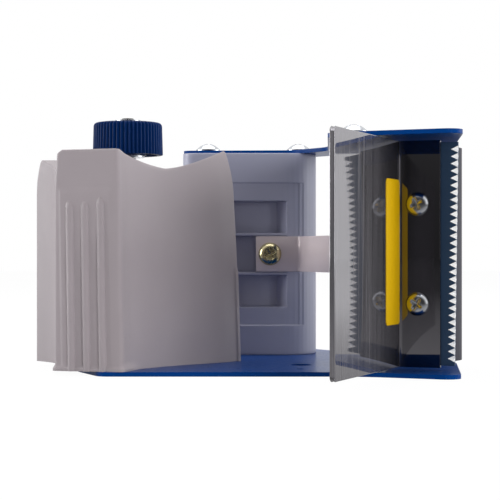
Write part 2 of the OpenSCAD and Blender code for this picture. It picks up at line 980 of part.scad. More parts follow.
module tension_washer() {
    color("#d5d7da")
        ring(tension_r, thread_r + run, knob_z - tension_t, tension_t);
}

module tension_knob() {
    rib_t = 1.6;
    color("#12305f")
        translate([0, 0, knob_z])
            difference() {
                rotate_extrude($fn = 128)
                    polygon(concat(
                        [[thread_r + run, 0], [knob_r, 0]],
                        corner([knob_r - knob_taper, knob_h], [knob_r, 0], [0, knob_h], knob_edge, 6),
                        [[thread_r + run, knob_h]]
                    ));
                translate([0, 0, -over])
                    cylinder(r = insert_r, h = insert_h + over);
                difference() {
                    translate([0, 0, -over])
                        cylinder(r = knob_r - 2.4, h = insert_h - 1 + over);
                    translate([0, 0, -2 * over])
                        cylinder(r = tension_r + 0.5, h = insert_h + 3 * over);
                    for (a = [0:60:120])
                        rotate(a)
                            translate([-knob_r, -rib_t / 2, 0.8])
                                cube([2 * knob_r, rib_t, insert_h]);
                }
                for (i = [0:knob_flutes - 1])
                    rotate(360 * i / knob_flutes)
                        translate([knob_r + 0.1, 0, -over])
                            cylinder(r = flute_r, h = knob_h + 2 * over, $fn = 16);
            }
}

module knob_insert() {
    color("#b7963f")
        ring(insert_r, thread_r + run, knob_z, insert_h);
}

main_plate();
outer_plate();
body_housing();
handle_shell();
handle_screws();
main_plate_screws();
outer_plate_screws();
guard_pivot_rod();
roller_axle();
leaf_spring();
leaf_spring_screw();
spindle();
lower_friction_washer();
upper_friction_washer();
pressure_plate();
brake_spring();
spindle_stop_nut();
hub_drum();
hub_bush();
roller_tube();
roller_bushes();
blade_guard();
cutter_blade();
blade_screws();
blade_nuts();
guard_marker();
tension_washer();
tension_knob();
knob_insert();
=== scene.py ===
"""Looks of a hand-held packing tape dispenser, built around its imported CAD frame.

Lengths in the classes are millimetres in the row frame: the origin is on the hub axis, on the underside of
the main plate, +Z runs up the hub axis, +X points to the cutting end and -Y to the handle.
"""

import logging
import math
from dataclasses import dataclass, field
from enum import Enum
from typing import Any, Sequence

import bmesh
import bpy
import numpy as np
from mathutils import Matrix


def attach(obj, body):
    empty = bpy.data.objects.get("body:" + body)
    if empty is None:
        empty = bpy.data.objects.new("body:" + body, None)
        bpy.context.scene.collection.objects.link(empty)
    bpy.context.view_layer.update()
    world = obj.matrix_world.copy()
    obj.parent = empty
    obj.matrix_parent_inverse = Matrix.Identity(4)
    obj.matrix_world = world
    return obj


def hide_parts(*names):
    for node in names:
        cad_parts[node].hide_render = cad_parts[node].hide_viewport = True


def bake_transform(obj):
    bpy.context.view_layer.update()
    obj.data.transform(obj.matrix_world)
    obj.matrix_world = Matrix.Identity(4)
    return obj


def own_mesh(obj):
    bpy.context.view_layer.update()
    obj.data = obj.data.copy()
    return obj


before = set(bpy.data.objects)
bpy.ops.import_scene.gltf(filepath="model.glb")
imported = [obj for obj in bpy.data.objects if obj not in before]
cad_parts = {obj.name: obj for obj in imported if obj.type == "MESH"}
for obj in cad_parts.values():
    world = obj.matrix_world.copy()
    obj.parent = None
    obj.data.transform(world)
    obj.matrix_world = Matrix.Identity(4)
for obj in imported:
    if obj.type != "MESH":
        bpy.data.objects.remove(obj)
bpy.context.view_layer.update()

LOG = logging.getLogger("dispenser")
MM = 0.001
# Most values of a noise lie between these
GRAIN_LOW, GRAIN_HIGH = 0.3, 0.7
# Share of the wear where the grain is low and where it is high
SCUFF_LEAST, SCUFF_MOST = 0.3, 1.7
# Most of a side that the arc at its corner may take up
ARC_SHARE = 0.48
# Points closer than the first are merged, and edges shorter than the second removed, in metres
WELD, SLIVER = 2e-6, 1e-7
PLATE_T = 1.5
GAP_W = 78.0
Z_IN = PLATE_T
Z_OUT = PLATE_T + GAP_W
Z_TOP = Z_OUT + PLATE_T
Z_MID = PLATE_T + GAP_W / 2
BEND_AT = np.array([103.5, -144.0])
PANEL_ANGLE = math.radians(22.5)
SEAT_ANGLE = math.radians(20.0)
PANEL_DIR = np.array([-math.sin(PANEL_ANGLE), -math.cos(PANEL_ANGLE)])
PANEL_BACK = np.array([-math.cos(PANEL_ANGLE), math.sin(PANEL_ANGLE)])
SEAT_DIR = np.array([math.cos(SEAT_ANGLE), -math.sin(SEAT_ANGLE)])
SEAT_BACK = np.array([math.sin(SEAT_ANGLE), math.cos(SEAT_ANGLE)])
PIVOT_AT = np.array([87.8, -148.0])
ROLLER_AT = np.array([116.0, -105.0])
SPRING_SCREW_AT = (60.7, -72.0)
UP = np.array([0.0, 0.0, 1.0])
WHITE = (1.0, 1.0, 1.0, 1.0)

Socket = bpy.types.NodeSocket


class Body(Enum):
    """Bodies of the frame that carry pieces of the scene."""

    FRAME = "frame"
    GUARD = "guard"
    KNOB = "tension_knob"


def linear(code: str) -> tuple[float, float, float, float]:
    """Turn an sRGB hex colour into linear RGBA.

    Args:
        code: Colour as "#rrggbb".

    Returns:
        Linear red, green, blue and an alpha of 1.
    """
    srgb = np.array([int(code[i : i + 2], 16) for i in (1, 3, 5)]) / 255.0
    rgb = np.where(srgb <= 0.04045, srgb / 12.92, ((srgb + 0.055) / 1.055) ** 2.4)
    return (float(rgb[0]), float(rgb[1]), float(rgb[2]), 1.0)


def add(
    tree: bpy.types.NodeTree, kind: str, inputs: dict[Any, Any] | None = None, **settings: Any
) -> bpy.types.Node:
    """Add one node, set its properties, and fill or link its inputs.

    Args:
        tree: Node tree that gets the node.
        kind: Node type, such as "ShaderNodeTexNoise".
        inputs: Input name or index to a value, or to an output socket that is linked to it.
        **settings: Properties of the node itself.

    Returns:
        The new node.
    """
    node = tree.nodes.new(kind)
    for key, value in settings.items():
        setattr(node, key, value)
    for key, value in (inputs or {}).items():
        if isinstance(value, Socket):
            tree.links.new(value, node.inputs[key])
        else:
            node.inputs[key].default_value = value
    return node


def blank_tree(owner: bpy.types.Material | bpy.types.World) -> bpy.types.NodeTree:
    """Turn nodes on and take the default ones out.

    Args:
        owner: New material or world.

    Returns:
        Its empty node tree.
    """
    owner.use_nodes = True
    owner.node_tree.nodes.clear()
    return owner.node_tree


@dataclass(frozen=True)
class Finish:
    """A surface: two near colours in a broad cloud, a grain that moves gloss and height, and rounded edges.

    The grain may be stretched along one axis, which draws it out into brushing or moulding streaks. A metal
    may be scuffed hazy on the left of a place along X, where hands and tape rub it; its lighter colour there
    is partly wear and partly painted light, and the darker polished colour to the right is painted shade.
    """

    name: str
    base: str
    shade: str
    roughness: float
    rough_span: float = 0.06
    metallic: float = 0.0
    ior: float = 1.5
    cloud_mm: float = 25.0
    grain_mm: float = 0.8
    height_mm: float = 0.01
    stretch: tuple[float, float, float] = (1.0, 1.0, 1.0)
    edge_mm: float = 0.25
    worn: float = 0.0
    wear_and_light_base: str = "#000000"
    wear_and_light_x: float = 0.0
    wear_and_light_run: float = 16.0

    def wear(
        self, tree: bpy.types.NodeTree, where: Socket, grain: Socket, colour: Socket
    ) -> tuple[Socket, Socket]:
        """Fade along X from the worn colour to the polished one, and take metal away where it is worn.

        The worn colour is lighter partly from wear, partly as painted light; the polished one is darker as
        painted shade.

        Args:
            tree: Node tree of the material.
            where: Object coordinates.
            grain: Grain noise.
            colour: Colour of the polished metal.

        Returns:
            Colour and share of metal.
        """
        x = add(tree, "ShaderNodeSeparateXYZ", {0: where}).outputs["X"]
        side = add(tree, "ShaderNodeMapRange", {
            "Value": x, "From Min": self.wear_and_light_x * MM, "From Max": (self.wear_and_light_x + self.wear_and_light_run) * MM,
            "To Min": 1.0, "To Max": 0.0,
        }).outputs[0]
        # Worn side lighter: partly wear, partly painted light; polished side darker as painted shade
        worn_and_lit = add(tree, "ShaderNodeMix", {
            "Factor": side, "A": colour, "B": linear(self.wear_and_light_base),
        }, data_type="RGBA")
        scuff = add(tree, "ShaderNodeMapRange", {
            "Value": grain, "From Min": GRAIN_LOW, "From Max": GRAIN_HIGH,
            "To Min": SCUFF_LEAST * self.worn, "To Max": SCUFF_MOST * self.worn,
        })
        haze = add(tree, "ShaderNodeMath", {0: side, 1: scuff.outputs[0]}, operation="MULTIPLY")
        metal = add(tree, "ShaderNodeMath", {0: self.metallic, 1: haze.outputs[0]}, operation="SUBTRACT")
        return worn_and_lit.outputs["Result"], metal.outputs[0]

    def material(self) -> bpy.types.Material:
        """Return the finish's material, made on first use.

        Returns:
            A node material that reads object coordinates.
        """
        found = bpy.data.materials.get(self.name)
        if found:
            return found
        mat = bpy.data.materials.new(self.name)
        tree = blank_tree(mat)
        where = add(tree, "ShaderNodeTexCoord").outputs["Object"]
        cloud = add(tree, "ShaderNodeTexNoise", {
            "Vector": where, "Scale": 1.0 / (self.cloud_mm * MM), "Detail": 3.0, "Roughness": 0.55,
        })
        tint = add(tree, "ShaderNodeMix", {
            "Factor": cloud.outputs["Fac"], "A": linear(self.base), "B": linear(self.shade),
        }, data_type="RGBA")
        drawn = add(tree, "ShaderNodeMapping", {"Vector": where, "Scale": self.stretch})
        grain = add(tree, "ShaderNodeTexNoise", {
            "Vector": drawn.outputs["Vector"], "Scale": 1.0 / (self.grain_mm * MM), "Detail": 4.0,
            "Roughness": 0.6,
        }).outputs["Fac"]
        gloss = add(tree, "ShaderNodeMapRange", {
            "Value": grain, "From Min": GRAIN_LOW, "From Max": GRAIN_HIGH,
            "To Min": self.roughness - self.rough_span, "To Max": self.roughness + self.rough_span,
        })
        colour: Any = tint.outputs["Result"]
        metal: Any = self.metallic
        if self.worn:
            colour, metal = self.wear(tree, where, grain, colour)
        edge = add(tree, "ShaderNodeBevel", {"Radius": self.edge_mm * MM}, samples=6)
        bump = add(tree, "ShaderNodeBump", {
            "Strength": 0.6, "Distance": self.height_mm * MM, "Height": grain,
            "Normal": edge.outputs["Normal"],
        })
        shader = add(tree, "ShaderNodeBsdfPrincipled", {
            "Base Color": colour, "Metallic": metal, "IOR": self.ior,
            "Roughness": gloss.outputs["Result"], "Normal": bump.outputs["Normal"],
        })
        add(tree, "ShaderNodeOutputMaterial", {"Surface": shader.outputs["BSDF"]})
        return mat


# Mould texture, brushing and turning marks are really 0.2 mm wide or less. They are drawn several times
# coarser, at the sizes given here, so that they show in the render.

# ABS, spark-eroded mould: warm light grey with an even fine matt and a faint cloud
HANDLE_ABS = Finish("handle_abs", "#a89fa3", "#a0979b", 0.5, 0.07, grain_mm=0.5, height_mm=0.02)
# Polystyrene, smoother mould: pale grey, a little glossier than the handle; its cool blue cast is partly
# painted reflected light from the blue plates
HOUSING_PS = Finish(
    "housing_polystyrene", "#a9aabe", "#a1a3b7", 0.42, 0.05, grain_mm=1.2, height_mm=0.006, edge_mm=0.5,
)
# Stove enamel on steel: deep blue with a satin gloss and a slight orange peel
PLATE_ENAMEL = Finish(
    "plate_enamel", "#034089", "#02387a", 0.3, 0.03, ior=1.16, grain_mm=2.2, height_mm=0.006, edge_mm=0.3,
)
# Nylon, fluted mould: dark blue with a dull sheen
KNOB_NYLON = Finish("knob_nylon", "#042a60", "#032453", 0.4, 0.06, ior=1.22, grain_mm=0.7, height_mm=0.012)
# Stainless sheet, polished lengthwise: dark mirror with fine upright lines, hazy with scuffs on the panel.
# The panel's lighter colour is partly wear and partly painted light; the seat's darker colour is painted
# shade.
GUARD_STAINLESS = Finish(
    "polished_stainless", "#7a787d", "#6f6d72", 0.05, 0.02, 1.0, grain_mm=0.9, height_mm=0.001,
    stretch=(1.0, 1.0, 0.015), edge_mm=0.3, worn=0.34, wear_and_light_base="#88868b", wear_and_light_x=90.0,
)
# Spring steel strip, rolled: warm satin grey with lines along the strip
LEAF_STEEL = Finish(
    "leaf_spring_steel", "#dfd2d4", "#d2c5c6", 0.36, 0.08, 0.15, grain_mm=0.5, height_mm=0.002,
    stretch=(0.15, 0.15, 1.0), edge_mm=0.12,
)
# Blued carbon steel: dark blue-black with a low metal sheen
BLADE_STEEL = Finish(
    "blade_blued_steel", "#3d5573", "#344a65", 0.36, 0.06, 0.55, grain_mm=0.6, height_mm=0.002,
    stretch=(1.0, 1.0, 0.1), edge_mm=0.1,
)
# Ground steel, painted as a highlight: plain white and not metal, standing for the glint of bare ground
# metal, with fine grinding lines across the edge
GROUND_GLINT_WHITE = Finish(
    "ground_glint_white", "#ffffff", "#f6f7f8", 0.4, 0.08, cloud_mm=6.0, grain_mm=0.3, height_mm=0.002,
    stretch=(0.2, 0.2, 1.0), edge_mm=0.02,
)
# Bright zinc plate: silvery, lightly mottled
BRIGHT_ZINC = Finish(
    "bright_zinc", "#d0d2d6", "#bcbfc6", 0.2, 0.06, 1.0, cloud_mm=4.0, grain_mm=0.5, height_mm=0.003,
)
# Yellow chromated zinc: pale brass colour with a cloudy blush
YELLOW_ZINC = Finish(
    "yellow_chromate_zinc", "#d6cca2", "#aca27e", 0.24, 0.07, 1.0, cloud_mm=3.0, grain_mm=0.5,
    height_mm=0.003,
)
# Turned mild steel rod: rings round the axis read as fine lines across it
ROD_STEEL = Finish(
    "turned_mild_steel", "#b3b5b9", "#a6a8ad", 0.3, 0.07, 1.0, grain_mm=0.5, height_mm=0.003,
    stretch=(0.1, 0.1, 1.0),
)
# Black oxide steel: near black with an oily sheen
BLACK_STEEL = Finish("black_oxide_steel", "#1c1d20", "#161719", 0.36, 0.08, grain_mm=0.6, height_mm=0.004)
# Music wire: grey drawn steel
SPRING_WIRE = Finish(
    "spring_wire", "#9b9ca1", "#8b8c92", 0.3, 0.06, 1.0, grain_mm=0.4, height_mm=0.002, edge_mm=0.05,
)
# Pressed fibre board: brown, dull and speckled
FIBRE = Finish("pressed_fibre", "#6a4c38", "#523a2b", 0.8, 0.08, cloud_mm=3.0, grain_mm=0.4, height_mm=0.05)
# Polypropylene moulding: pale grey drum
HUB_PP = Finish(
    "hub_polypropylene", "#c9cbd2", "#bfc2ca", 0.48, 0.06, grain_mm=0.9, height_mm=0.012, edge_mm=0.4,
)
# Turned brass: warm yellow metal
BRASS = Finish(
    "turned_brass", "#c79f4e", "#b58d40", 0.28, 0.07, 1.0, grain_mm=0.5, height_mm=0.003,
    stretch=(0.1, 0.1, 1.0),
)
# Natural nylon bush: off-white, waxy
BUSH_NYLON = Finish("natural_nylon", "#e4e1d8", "#dad7cd", 0.4, 0.05, grain_mm=1.0, height_mm=0.006)
# PVC roller tube, drawn: dark grey with a soft sheen
ROLLER_PVC = Finish(
    "roller_pvc", "#42424a", "#3b3b43", 0.5, 0.06, ior=1.2, grain_mm=0.8, height_mm=0.006,
    stretch=(1.0, 1.0, 0.08),
)
# Self-adhesive vinyl: even yellow with a soft sheen
MARKER_VINYL = Finish(
    "yellow_vinyl", "#dcb00a", "#d4a808", 0.5, 0.04, ior=1.2, grain_mm=1.0, height_mm=0.002, edge_mm=0.05,
)

NODE_FINISHES: dict[str, Finish] = {
    "main_plate": PLATE_ENAMEL, "outer_plate": PLATE_ENAMEL, "handle_screws": BRIGHT_ZINC,
    "main_plate_screws": BRIGHT_ZINC, "guard_pivot_rod": ROD_STEEL, "roller_axle": ROD_STEEL,
    "spindle": BLACK_STEEL, "lower_friction_washer": FIBRE, "upper_friction_washer": FIBRE,
    "pressure_plate": BRIGHT_ZINC, "spindle_stop_nut": BRIGHT_ZINC, "hub_drum": HUB_PP, "hub_bush": BRASS,
    "roller_tube": ROLLER_PVC, "roller_bushes": BUSH_NYLON, "cutter_blade": BLADE_STEEL,
    "blade_nuts": BRIGHT_ZINC, "tension_washer": BRIGHT_ZINC, "knob_insert": BRASS,
}


def fillet(corners: Sequence[Sequence[float]], steps: int = 8, closed: bool = True) -> np.ndarray:
    """Round the corners of an outline: each corner becomes an arc that touches both of its sides.

    Args:
        corners: Points as (x, y, radius); a missing radius is 0.
        steps: Segments of each arc.
        closed: Whether the last point joins the first.

    Returns:
        Points of the rounded outline, shape (n, 2).
    """
    out: list[np.ndarray] = []
    count = len(corners)
    for i, corner in enumerate(corners):
        p = np.array(corner[:2], float)
        radius = corner[2] if len(corner) > 2 else 0.0
        if radius <= 0 or (not closed and i in (0, count - 1)):
            out.append(p[None])
            continue
        to_prev = np.array(corners[i - 1][:2], float) - p
        to_next = np.array(corners[(i + 1) % count][:2], float) - p
        len_prev, len_next = np.linalg.norm(to_prev), np.linalg.norm(to_next)
        u, v = to_prev / len_prev, to_next / len_next
        half = math.acos(float(np.clip(u @ v, -1.0, 1.0))) / 2
        reach = min(radius / math.tan(half), ARC_SHARE * len_prev, ARC_SHARE * len_next)
        r = reach * math.tan(half)
        centre = p + (u + v) / np.linalg.norm(u + v) * r / math.sin(half)
        start, stop = p + u * reach - centre, p + v * reach - centre
        a0 = math.atan2(start[1], start[0])
        turn = (math.atan2(stop[1], stop[0]) - a0 + math.pi) % (2 * math.pi) - math.pi
        angles = a0 + turn * np.linspace(0, 1, steps + 1)
        out.append(centre + r * np.stack([np.cos(angles), np.sin(angles)], 1))
    return np.concatenate(out)


def resample(line: np.ndarray, count: int, closed: bool) -> np.ndarray:
    """Space points evenly by arc length along a polyline.

    Args:
        line: Points, shape (n, 2).
        count: Number of points wanted.
        closed: Whether the line returns to its start; the start isn't repeated then.

    Returns:
        Points, shape (count, 2).
    """
    path = np.concatenate([line, line[:1]]) if closed else line
    run = np.concatenate([[0.0], np.cumsum(np.linalg.norm(np.diff(path, axis=0), axis=1))])
    at = np.linspace(0, run[-1], count, endpoint=not closed)
    return np.stack([np.interp(at, run, path[:, k]) for k in range(path.shape[1])], 1)


def normals_2d(line: np.ndarray, closed: bool) -> np.ndarray:
    """Unit normals on the right-hand side of a polyline's direction, from central differences.

    Args:
        line: Points, shape (n, 2).
        closed: Whether the ends join.

    Returns:
        Normals, shape (n, 2); they point outwards on an anticlockwise outline.
    """
    if closed:
        step = np.roll(line, -1, 0) - np.roll(line, 1, 0)
    else:
        step = np.gradient(line, axis=0)
    step = step / np.maximum(np.linalg.norm(step, axis=1, keepdims=True), 1e-9)
    return np.stack([step[:, 1], -step[:, 0]], 1)


def ease(x: np.ndarray, low: float, high: float) -> np.ndarray:
    """Smooth step: 0 below low, 1 above high, with flat ends."""
    t = np.clip((x - low) / (high - low), 0.0, 1.0)
    return t * t * (3 - 2 * t)


def turn_z(points: np.ndarray, angle: float) -> np.ndarray:
    """Turn points about Z: x becomes c x - s y, and y becomes s x + c y.

    Args:
        points: Positions, shape (..., 3).
        angle: Angle in radians, anticlockwise.

    Returns:
        Turned positions, same shape.
    """
    c, s = math.cos(angle), math.sin(angle)
    x, y, z = points[..., 0], points[..., 1], points[..., 2]
    return np.stack([c * x - s * y, s * x + c * y, z], -1)


def lift(flat: np.ndarray, z: np.ndarray) -> np.ndarray:
    """Join plan points, shape (..., 2), with heights that spread over their shape."""
    return np.concatenate([flat, np.broadcast_to(z, flat.shape[:-1])[..., None]], -1)


def step_in(outline: np.ndarray, inset: np.ndarray) -> np.ndarray:
    """Copies of a closed outline, each moved in along its normals by one inset; shape (insets, n, 2)."""
    return outline[None] - inset[:, None, None] * normals_2d(outline, True)[None]


def strip(path: np.ndarray, thick: float) -> np.ndarray:
    """Closed outline of a strip of one thickness along an open path."""
    side = normals_2d(path, False) * thick / 2
    return np.concatenate([path + side, (path - side)[::-1]])


def rims(radius: float, z0: float, z1: float, steps: int) -> tuple[np.ndarray, np.ndarray]:
    """Quarter-round rims at both ends of an upright wall.

    With t from 0 at an end to a right angle, the inset is radius * (1 - sin t) and the distance from the end
    radius * (1 - cos t).

    Args:
        radius: Radius of the rims.
        z0: Lower end.
        z1: Upper end.
        steps: Segments of each rim.

    Returns:
        Insets and heights, from the lower end to the upper one.
    """
    angle = np.linspace(0, math.pi / 2, steps + 1)
    inset = radius * (1 - np.sin(angle))
    rise = radius * (1 - np.cos(angle))
    return np.concatenate([inset, inset[::-1]]), np.concatenate([z0 + rise, z1 - rise[::-1]])


def basis(u: np.ndarray, w: np.ndarray) -> np.ndarray:
    """Rows of a right-handed frame with first axis u and third axis w."""
    return np.stack([u, np.cross(w, u), w])


@dataclass
class Shell:
    """Collects surface grids and caps, in millimetres, and turns them into one mesh object in metres."""

    points: list[np.ndarray] = field(default_factory=list)
    quads: list[np.ndarray] = field(default_factory=list)
    fans: list[list[int]] = field(default_factory=list)
    count: int = 0

    def grid(self, points: np.ndarray, close_u: bool = False, close_v: bool = False) -> np.ndarray:
        """Add a grid of points joined by quads.

        Args:
            points: Positions, shape (u, v, 3).
            close_u: Whether the last row joins the first.
            close_v: Whether the last column joins the first.

        Returns:
            Vertex numbers of the grid, shape (u, v).
        """
        nu, nv = points.shape[:2]
        index = self.count + np.arange(nu * nv).reshape(nu, nv)
        rows = np.concatenate([index, index[:1]]) if close_u else index
        rows = np.concatenate([rows, rows[:, :1]], 1) if close_v else rows
        quads = np.stack([rows[:-1, :-1], rows[1:, :-1], rows[1:, 1:], rows[:-1, 1:]], -1)
        self.quads.append(quads.reshape(-1, 4))
        self.points.append(points.reshape(-1, 3))
        self.count += nu * nv
        return index

    def cap(self, ring: np.ndarray) -> None:
        """Close a ring of vertex numbers with one flat face."""
        self.fans.append([int(i) for i in ring])

    def tube(self, points: np.ndarray) -> None:
        """Add a grid that closes in its second direction, with a flat cap at each end.

        Args:
            points: Positions, shape (u, v, 3).
        """
        index = self.grid(points, close_v=True)
        self.cap(index[0][::-1])
        self.cap(index[-1])

    def prism(self, outline: np.ndarray, z0: float, z1: float, rim: float, steps: int = 3) -> None:
        """Carry a closed outline up Z, with quarter-round rims of radius rim at both ends and flat caps.

        Args:
            outline: Anticlockwise points, shape (n, 2).
            z0: Lower end.
            z1: Upper end.
            rim: Radius of the rims.
            steps: Segments of each rim.
        """
        inset, level = rims(rim, z0, z1, steps)
        self.tube(lift(step_in(outline, inset), level[:, None]))

    def build(
        self, name: str, finish: Finish, body: Body | None, sharp_deg: float = 38.0
    ) -> bpy.types.Object:
        """Make the object, merge seams, point faces outwards, and ride it on a body.

        Args:
            name: Name of the piece.
            finish: Its surface.
            body: Body that carries it, or none for a piece that no body carries.
            sharp_deg: Edges that turn more than this stay sharp.

        Returns:
            The new object.
        """
        mesh = bpy.data.meshes.new(name)
        faces = np.concatenate(self.quads).tolist() + self.fans
        mesh.from_pydata((np.concatenate(self.points) * MM).tolist(), [], faces)
        work = bmesh.new()
        work.from_mesh(mesh)
        bmesh.ops.remove_doubles(work, verts=work.verts, dist=WELD)
        bmesh.ops.dissolve_degenerate(work, edges=work.edges, dist=SLIVER)
        bmesh.ops.recalc_face_normals(work, faces=work.faces)
        work.to_mesh(mesh)
        work.free()
        mesh.shade_smooth()
        mesh.set_sharp_from_angle(angle=math.radians(sharp_deg))
        piece = bpy.data.objects.new(name, mesh)
        bpy.context.scene.collection.objects.link(piece)
        mesh.materials.append(finish.material())
        if body:
            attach(piece, body.value)
        LOG.info("%s: %d vertices on %s", name, len(mesh.vertices), body.value if body else "two bodies")
        return piece


def revolve(profile: np.ndarray, centre: np.ndarray, steps: int) -> np.ndarray:
    """Turn a profile round a vertical axis: each (r, z) becomes a circle of radius r at height z.

    Args:
        profile: Points (r, z), shape (n, 2).
        centre: Axis position (x, y).
        steps: Points round the circle.

    Returns:
        Grid, shape (n, steps, 3), closed in its second direction.
    """
    angle = np.linspace(0, 2 * math.pi, steps, endpoint=False)
    r, z = profile[:, :1], profile[:, 1:]
    x = centre[0] + r * np.cos(angle)
    y = centre[1] + r * np.sin(angle)
    return np.stack([x, y, np.broadcast_to(z, x.shape)], -1)


@dataclass
class Handle:
    """Moulded grip: a thin wall round a plan outline, under a top that rises to the tip and to two flares."""

    # Plan at mid height, and how its sides lean with height
    tip_left: tuple[float, float] = (-11.4, -149.7)
    tip_right: tuple[float, float] = (10.1, -156.0)
    tip_round: float = 2.6
    tip_corner_r: float = 0.9
    tip_lean: float = 0.2  # shift of the tip's right corner along X at mid height
    tip_draft: float = 0.02  # and its loss for each millimetre of height
    tip_taper: float = 0.75  # how far the tip's left corner stands out
    taper_up: tuple[float, float] = (22.4, 12.0)  # height above the middle where that fades, and over which
    finger_start: tuple[float, float] = (11.7, -150.0)
    finger_end: tuple[float, float] = (40.0, -115.0)
    finger_r: float = 80.0
    soft_half: float = 5.0  # half the width of the finger side's running mean
    soft_y: tuple[float, float] = (-135.0, -126.0)  # where the running mean comes in
    flare_right: tuple[float, float] = (47.3, -105.0)
    flare_left: tuple[float, float] = (-24.6, -104.0)
    overrun: tuple[float, float] = (9.0, 4.0)  # how far the right and left sides run on past their flares
    waist_left: tuple[float, float] = (-16.4, -113.0)
    waist_r: float = 30.0
    left_gap: float = 2.0  # how far the left side's points stop before the tip
    draft: float = 0.03
    top_draft: float = 0.02
    back: float = -103.4
    back_gap: float = 1.2  # how far both sides' points stop before the back
    back_corner_r: float = 0.5
    rim_r: float = 36.0  # the back leans in on an arc of this radius
    rim_start: float = 62.5  # from this height
    face_share: tuple[float, float] = (0.06, 0.86)  # part of the tip's face with points of its own
    back_share: tuple[float, float] = (0.02, 0.98)  # the same of the back
    # Top: each rise is a run, a height and a power
    level: float = 70.3
    tip_rise: tuple[float, float, float] = (29.9, 5.2, 1.2)
    right_start: float = 23.2
    right_rise: tuple[float, float, float] = (19.8, 7.3, 1.48)
    left_start: float = -117.0
    left_rise: tuple[float, float, float] = (13.0, 5.1, 1.1)
    left_fade: tuple[float, float] = (-16.0, 8.0)
    tip_drop: tuple[float, float] = (0.9, 1.8)  # height lost at the tip's left corner, and over which width
    drop_fade: tuple[float, float] = (2.0, 9.0)  # distances behind the corner between which that fades
    edge_r: float = 0.7
    # Wall, ribs and bosses inside
    wall: float = 2.4
    reach: float = 33.0  # usual distance from the centre to the wall, which scales the inside
    centre: tuple[float, float] = (9.0, -129.0)
    pole: float = 0.01  # share of a ring at which a cap closes the top and the ceiling
    core_ribs: tuple[float, ...] = (-5.0, 13.0, 29.0)
    core_t: float = 1.8
    core_side: float = 0.5  # how far beside a rib the wall is looked for
    core_up: float = 2.0  # height above the level top of the second plan that is looked at
    core_split: float = 18.0  # distance behind the centre that the tip's wall stays before
    core_gap: tuple[float, float] = (1.0, 3.0)  # room between a rib and the tip's wall, and the back
    core_foot: float = 0.05  # room between the ribs and the plate
    bosses: tuple[tuple[float, float], ...] = ((3.1, -145.0), (-10.0, -110.0), (31.0, -110.0))
    boss_r: float = 4.2
    # Grip ribs and step on the tip's face, ledge at its foot, bead on the right flare
    face_band: float = 0.8  # how near to its plane a point counts as on the face
    rib_r: float = 1.3
    rib_top: float = 55.3
    rib_more: tuple[float, ...] = (0.0, 0.0, 0.9)  # how much higher each rib ends than rib_top
    rib_places: tuple[float, ...] = (0.21, 0.45, 0.7)  # shares of the face's width
    rib_lean: float = 0.016
    rib_proud: tuple[float, float] = (0.5, 0.35)  # share of the half circle at the top, and its growth below
    rib_run: float = 25.0  # height over which it grows
    step: float = 0.25
    step_up: tuple[float, float] = (20.5, 22.5)  # heights above the middle between which the step ends
    step_left: tuple[float, float] = (0.6, 1.6)  # distances from the left end between which it starts
    step_right: tuple[float, float] = (1.5, 4.0)  # the same from the right end
    lip: float = 0.8
    lip_h: float = 1.4
    lip_edge: tuple[float, float] = (0.3, 0.4)  # how far the ledge's edge spreads below and above lip_h
    lip_from: tuple[float, float] = (142.0, 150.0)  # distances before the hub between which it comes in
    lip_rows: tuple[float, ...] = (0.0, 0.012, 0.02, 0.03)  # shares of the height with extra rows for it
    bead: float = 0.4
    bead_from: tuple[float, float] = (2.0, 1.5)  # distances before the back between which the bead comes in
    bead_down: tuple[float, float] = (7.0, 4.5)  # distances below the middle between which it ends

    def top_height(self, x: np.ndarray, y: np.ndarray) -> np.ndarray:
        """Height of the top: a level middle plus three rises, rise * (distance / run) ** power past a start.

        The first rise runs square to the tip's face, the second along X to the right flare, the third back to
        the left flare, fading out across the handle. The tip's left corner is rounded off.

        Args:
            x: Positions across the handle.
            y: Positions along the handle.

        Returns:
            Heights, same shape.
        """
        a, b = np.array(self.tip_left), np.array(self.tip_right)
        along = (b - a) / np.linalg.norm(b - a)
        to_tip = (x - b[0]) * along[1] - (y - b[1]) * along[0]
        rises = (
            (to_tip + self.tip_rise[0], self.tip_rise, 1.0), (x - self.right_start, self.right_rise, 1.0),
            (y - self.left_start, self.left_rise, 1 - ease(x, *self.left_fade)),
        )
        total = np.full(np.shape(x), self.level)
        for past, (run, rise, power), share in rises:
            total = total + share * rise * (np.clip(past, 0.0, None) / run) ** power
        in_from_left = (x - a[0]) * along[0] + (y - a[1]) * along[1]
        past_tip = ease(y, a[1] + self.drop_fade[0], a[1] + self.drop_fade[1])
        corner = (1 - ease(in_from_left, 0.0, self.tip_drop[1])) * (1 - past_tip)
        return total - self.tip_drop[0] * corner

    def back_at(self, z: float) -> float:
        """Far limit of the plan at a height: upright, then leaning in on an arc."""
        rise = max(0.0, z - self.rim_start)
        return self.back - (self.rim_r - math.sqrt(self.rim_r**2 - rise**2))

    def right_line(self, z: float) -> np.ndarray:
        """Finger side at one height: an arc, then a straight run past the right flare, leaning with height.

        Args:
            z: Height.

        Returns:
            Points, shape (n, 2), from the tip to beyond the flare.
        """
        up = z - Z_MID
        tip_lean = self.tip_lean - self.tip_draft * up
        flare_lean = -self.draft * up - self.top_draft * max(0.0, up)
        a, b = np.array(self.finger_start), np.array(self.finger_end)
        chord = b - a
        length = float(np.linalg.norm(chord))
        sag = math.sqrt(self.finger_r**2 - length**2 / 4)
        centre = (a + b) / 2 + sag * np.array([chord[1], -chord[0]]) / length
        a0, a1 = (math.atan2(*(p - centre)[::-1]) for p in (a, b))
        angles = np.linspace(a0, a1, 48)
        arc = centre + self.finger_r * np.stack([np.cos(angles), np.sin(angles)], 1)
        flare = np.array(self.flare_right)
        beyond = flare + (flare - b) / np.linalg.norm(flare - b) * self.overrun[0]
        line = np.concatenate([arc, [flare, beyond]])
        share = (line[:, 1] - self.tip_right[1]) / (self.flare_right[1] - self.tip_right[1])
        line[:, 0] += tip_lean + share * (flare_lean - tip_lean)
        return line

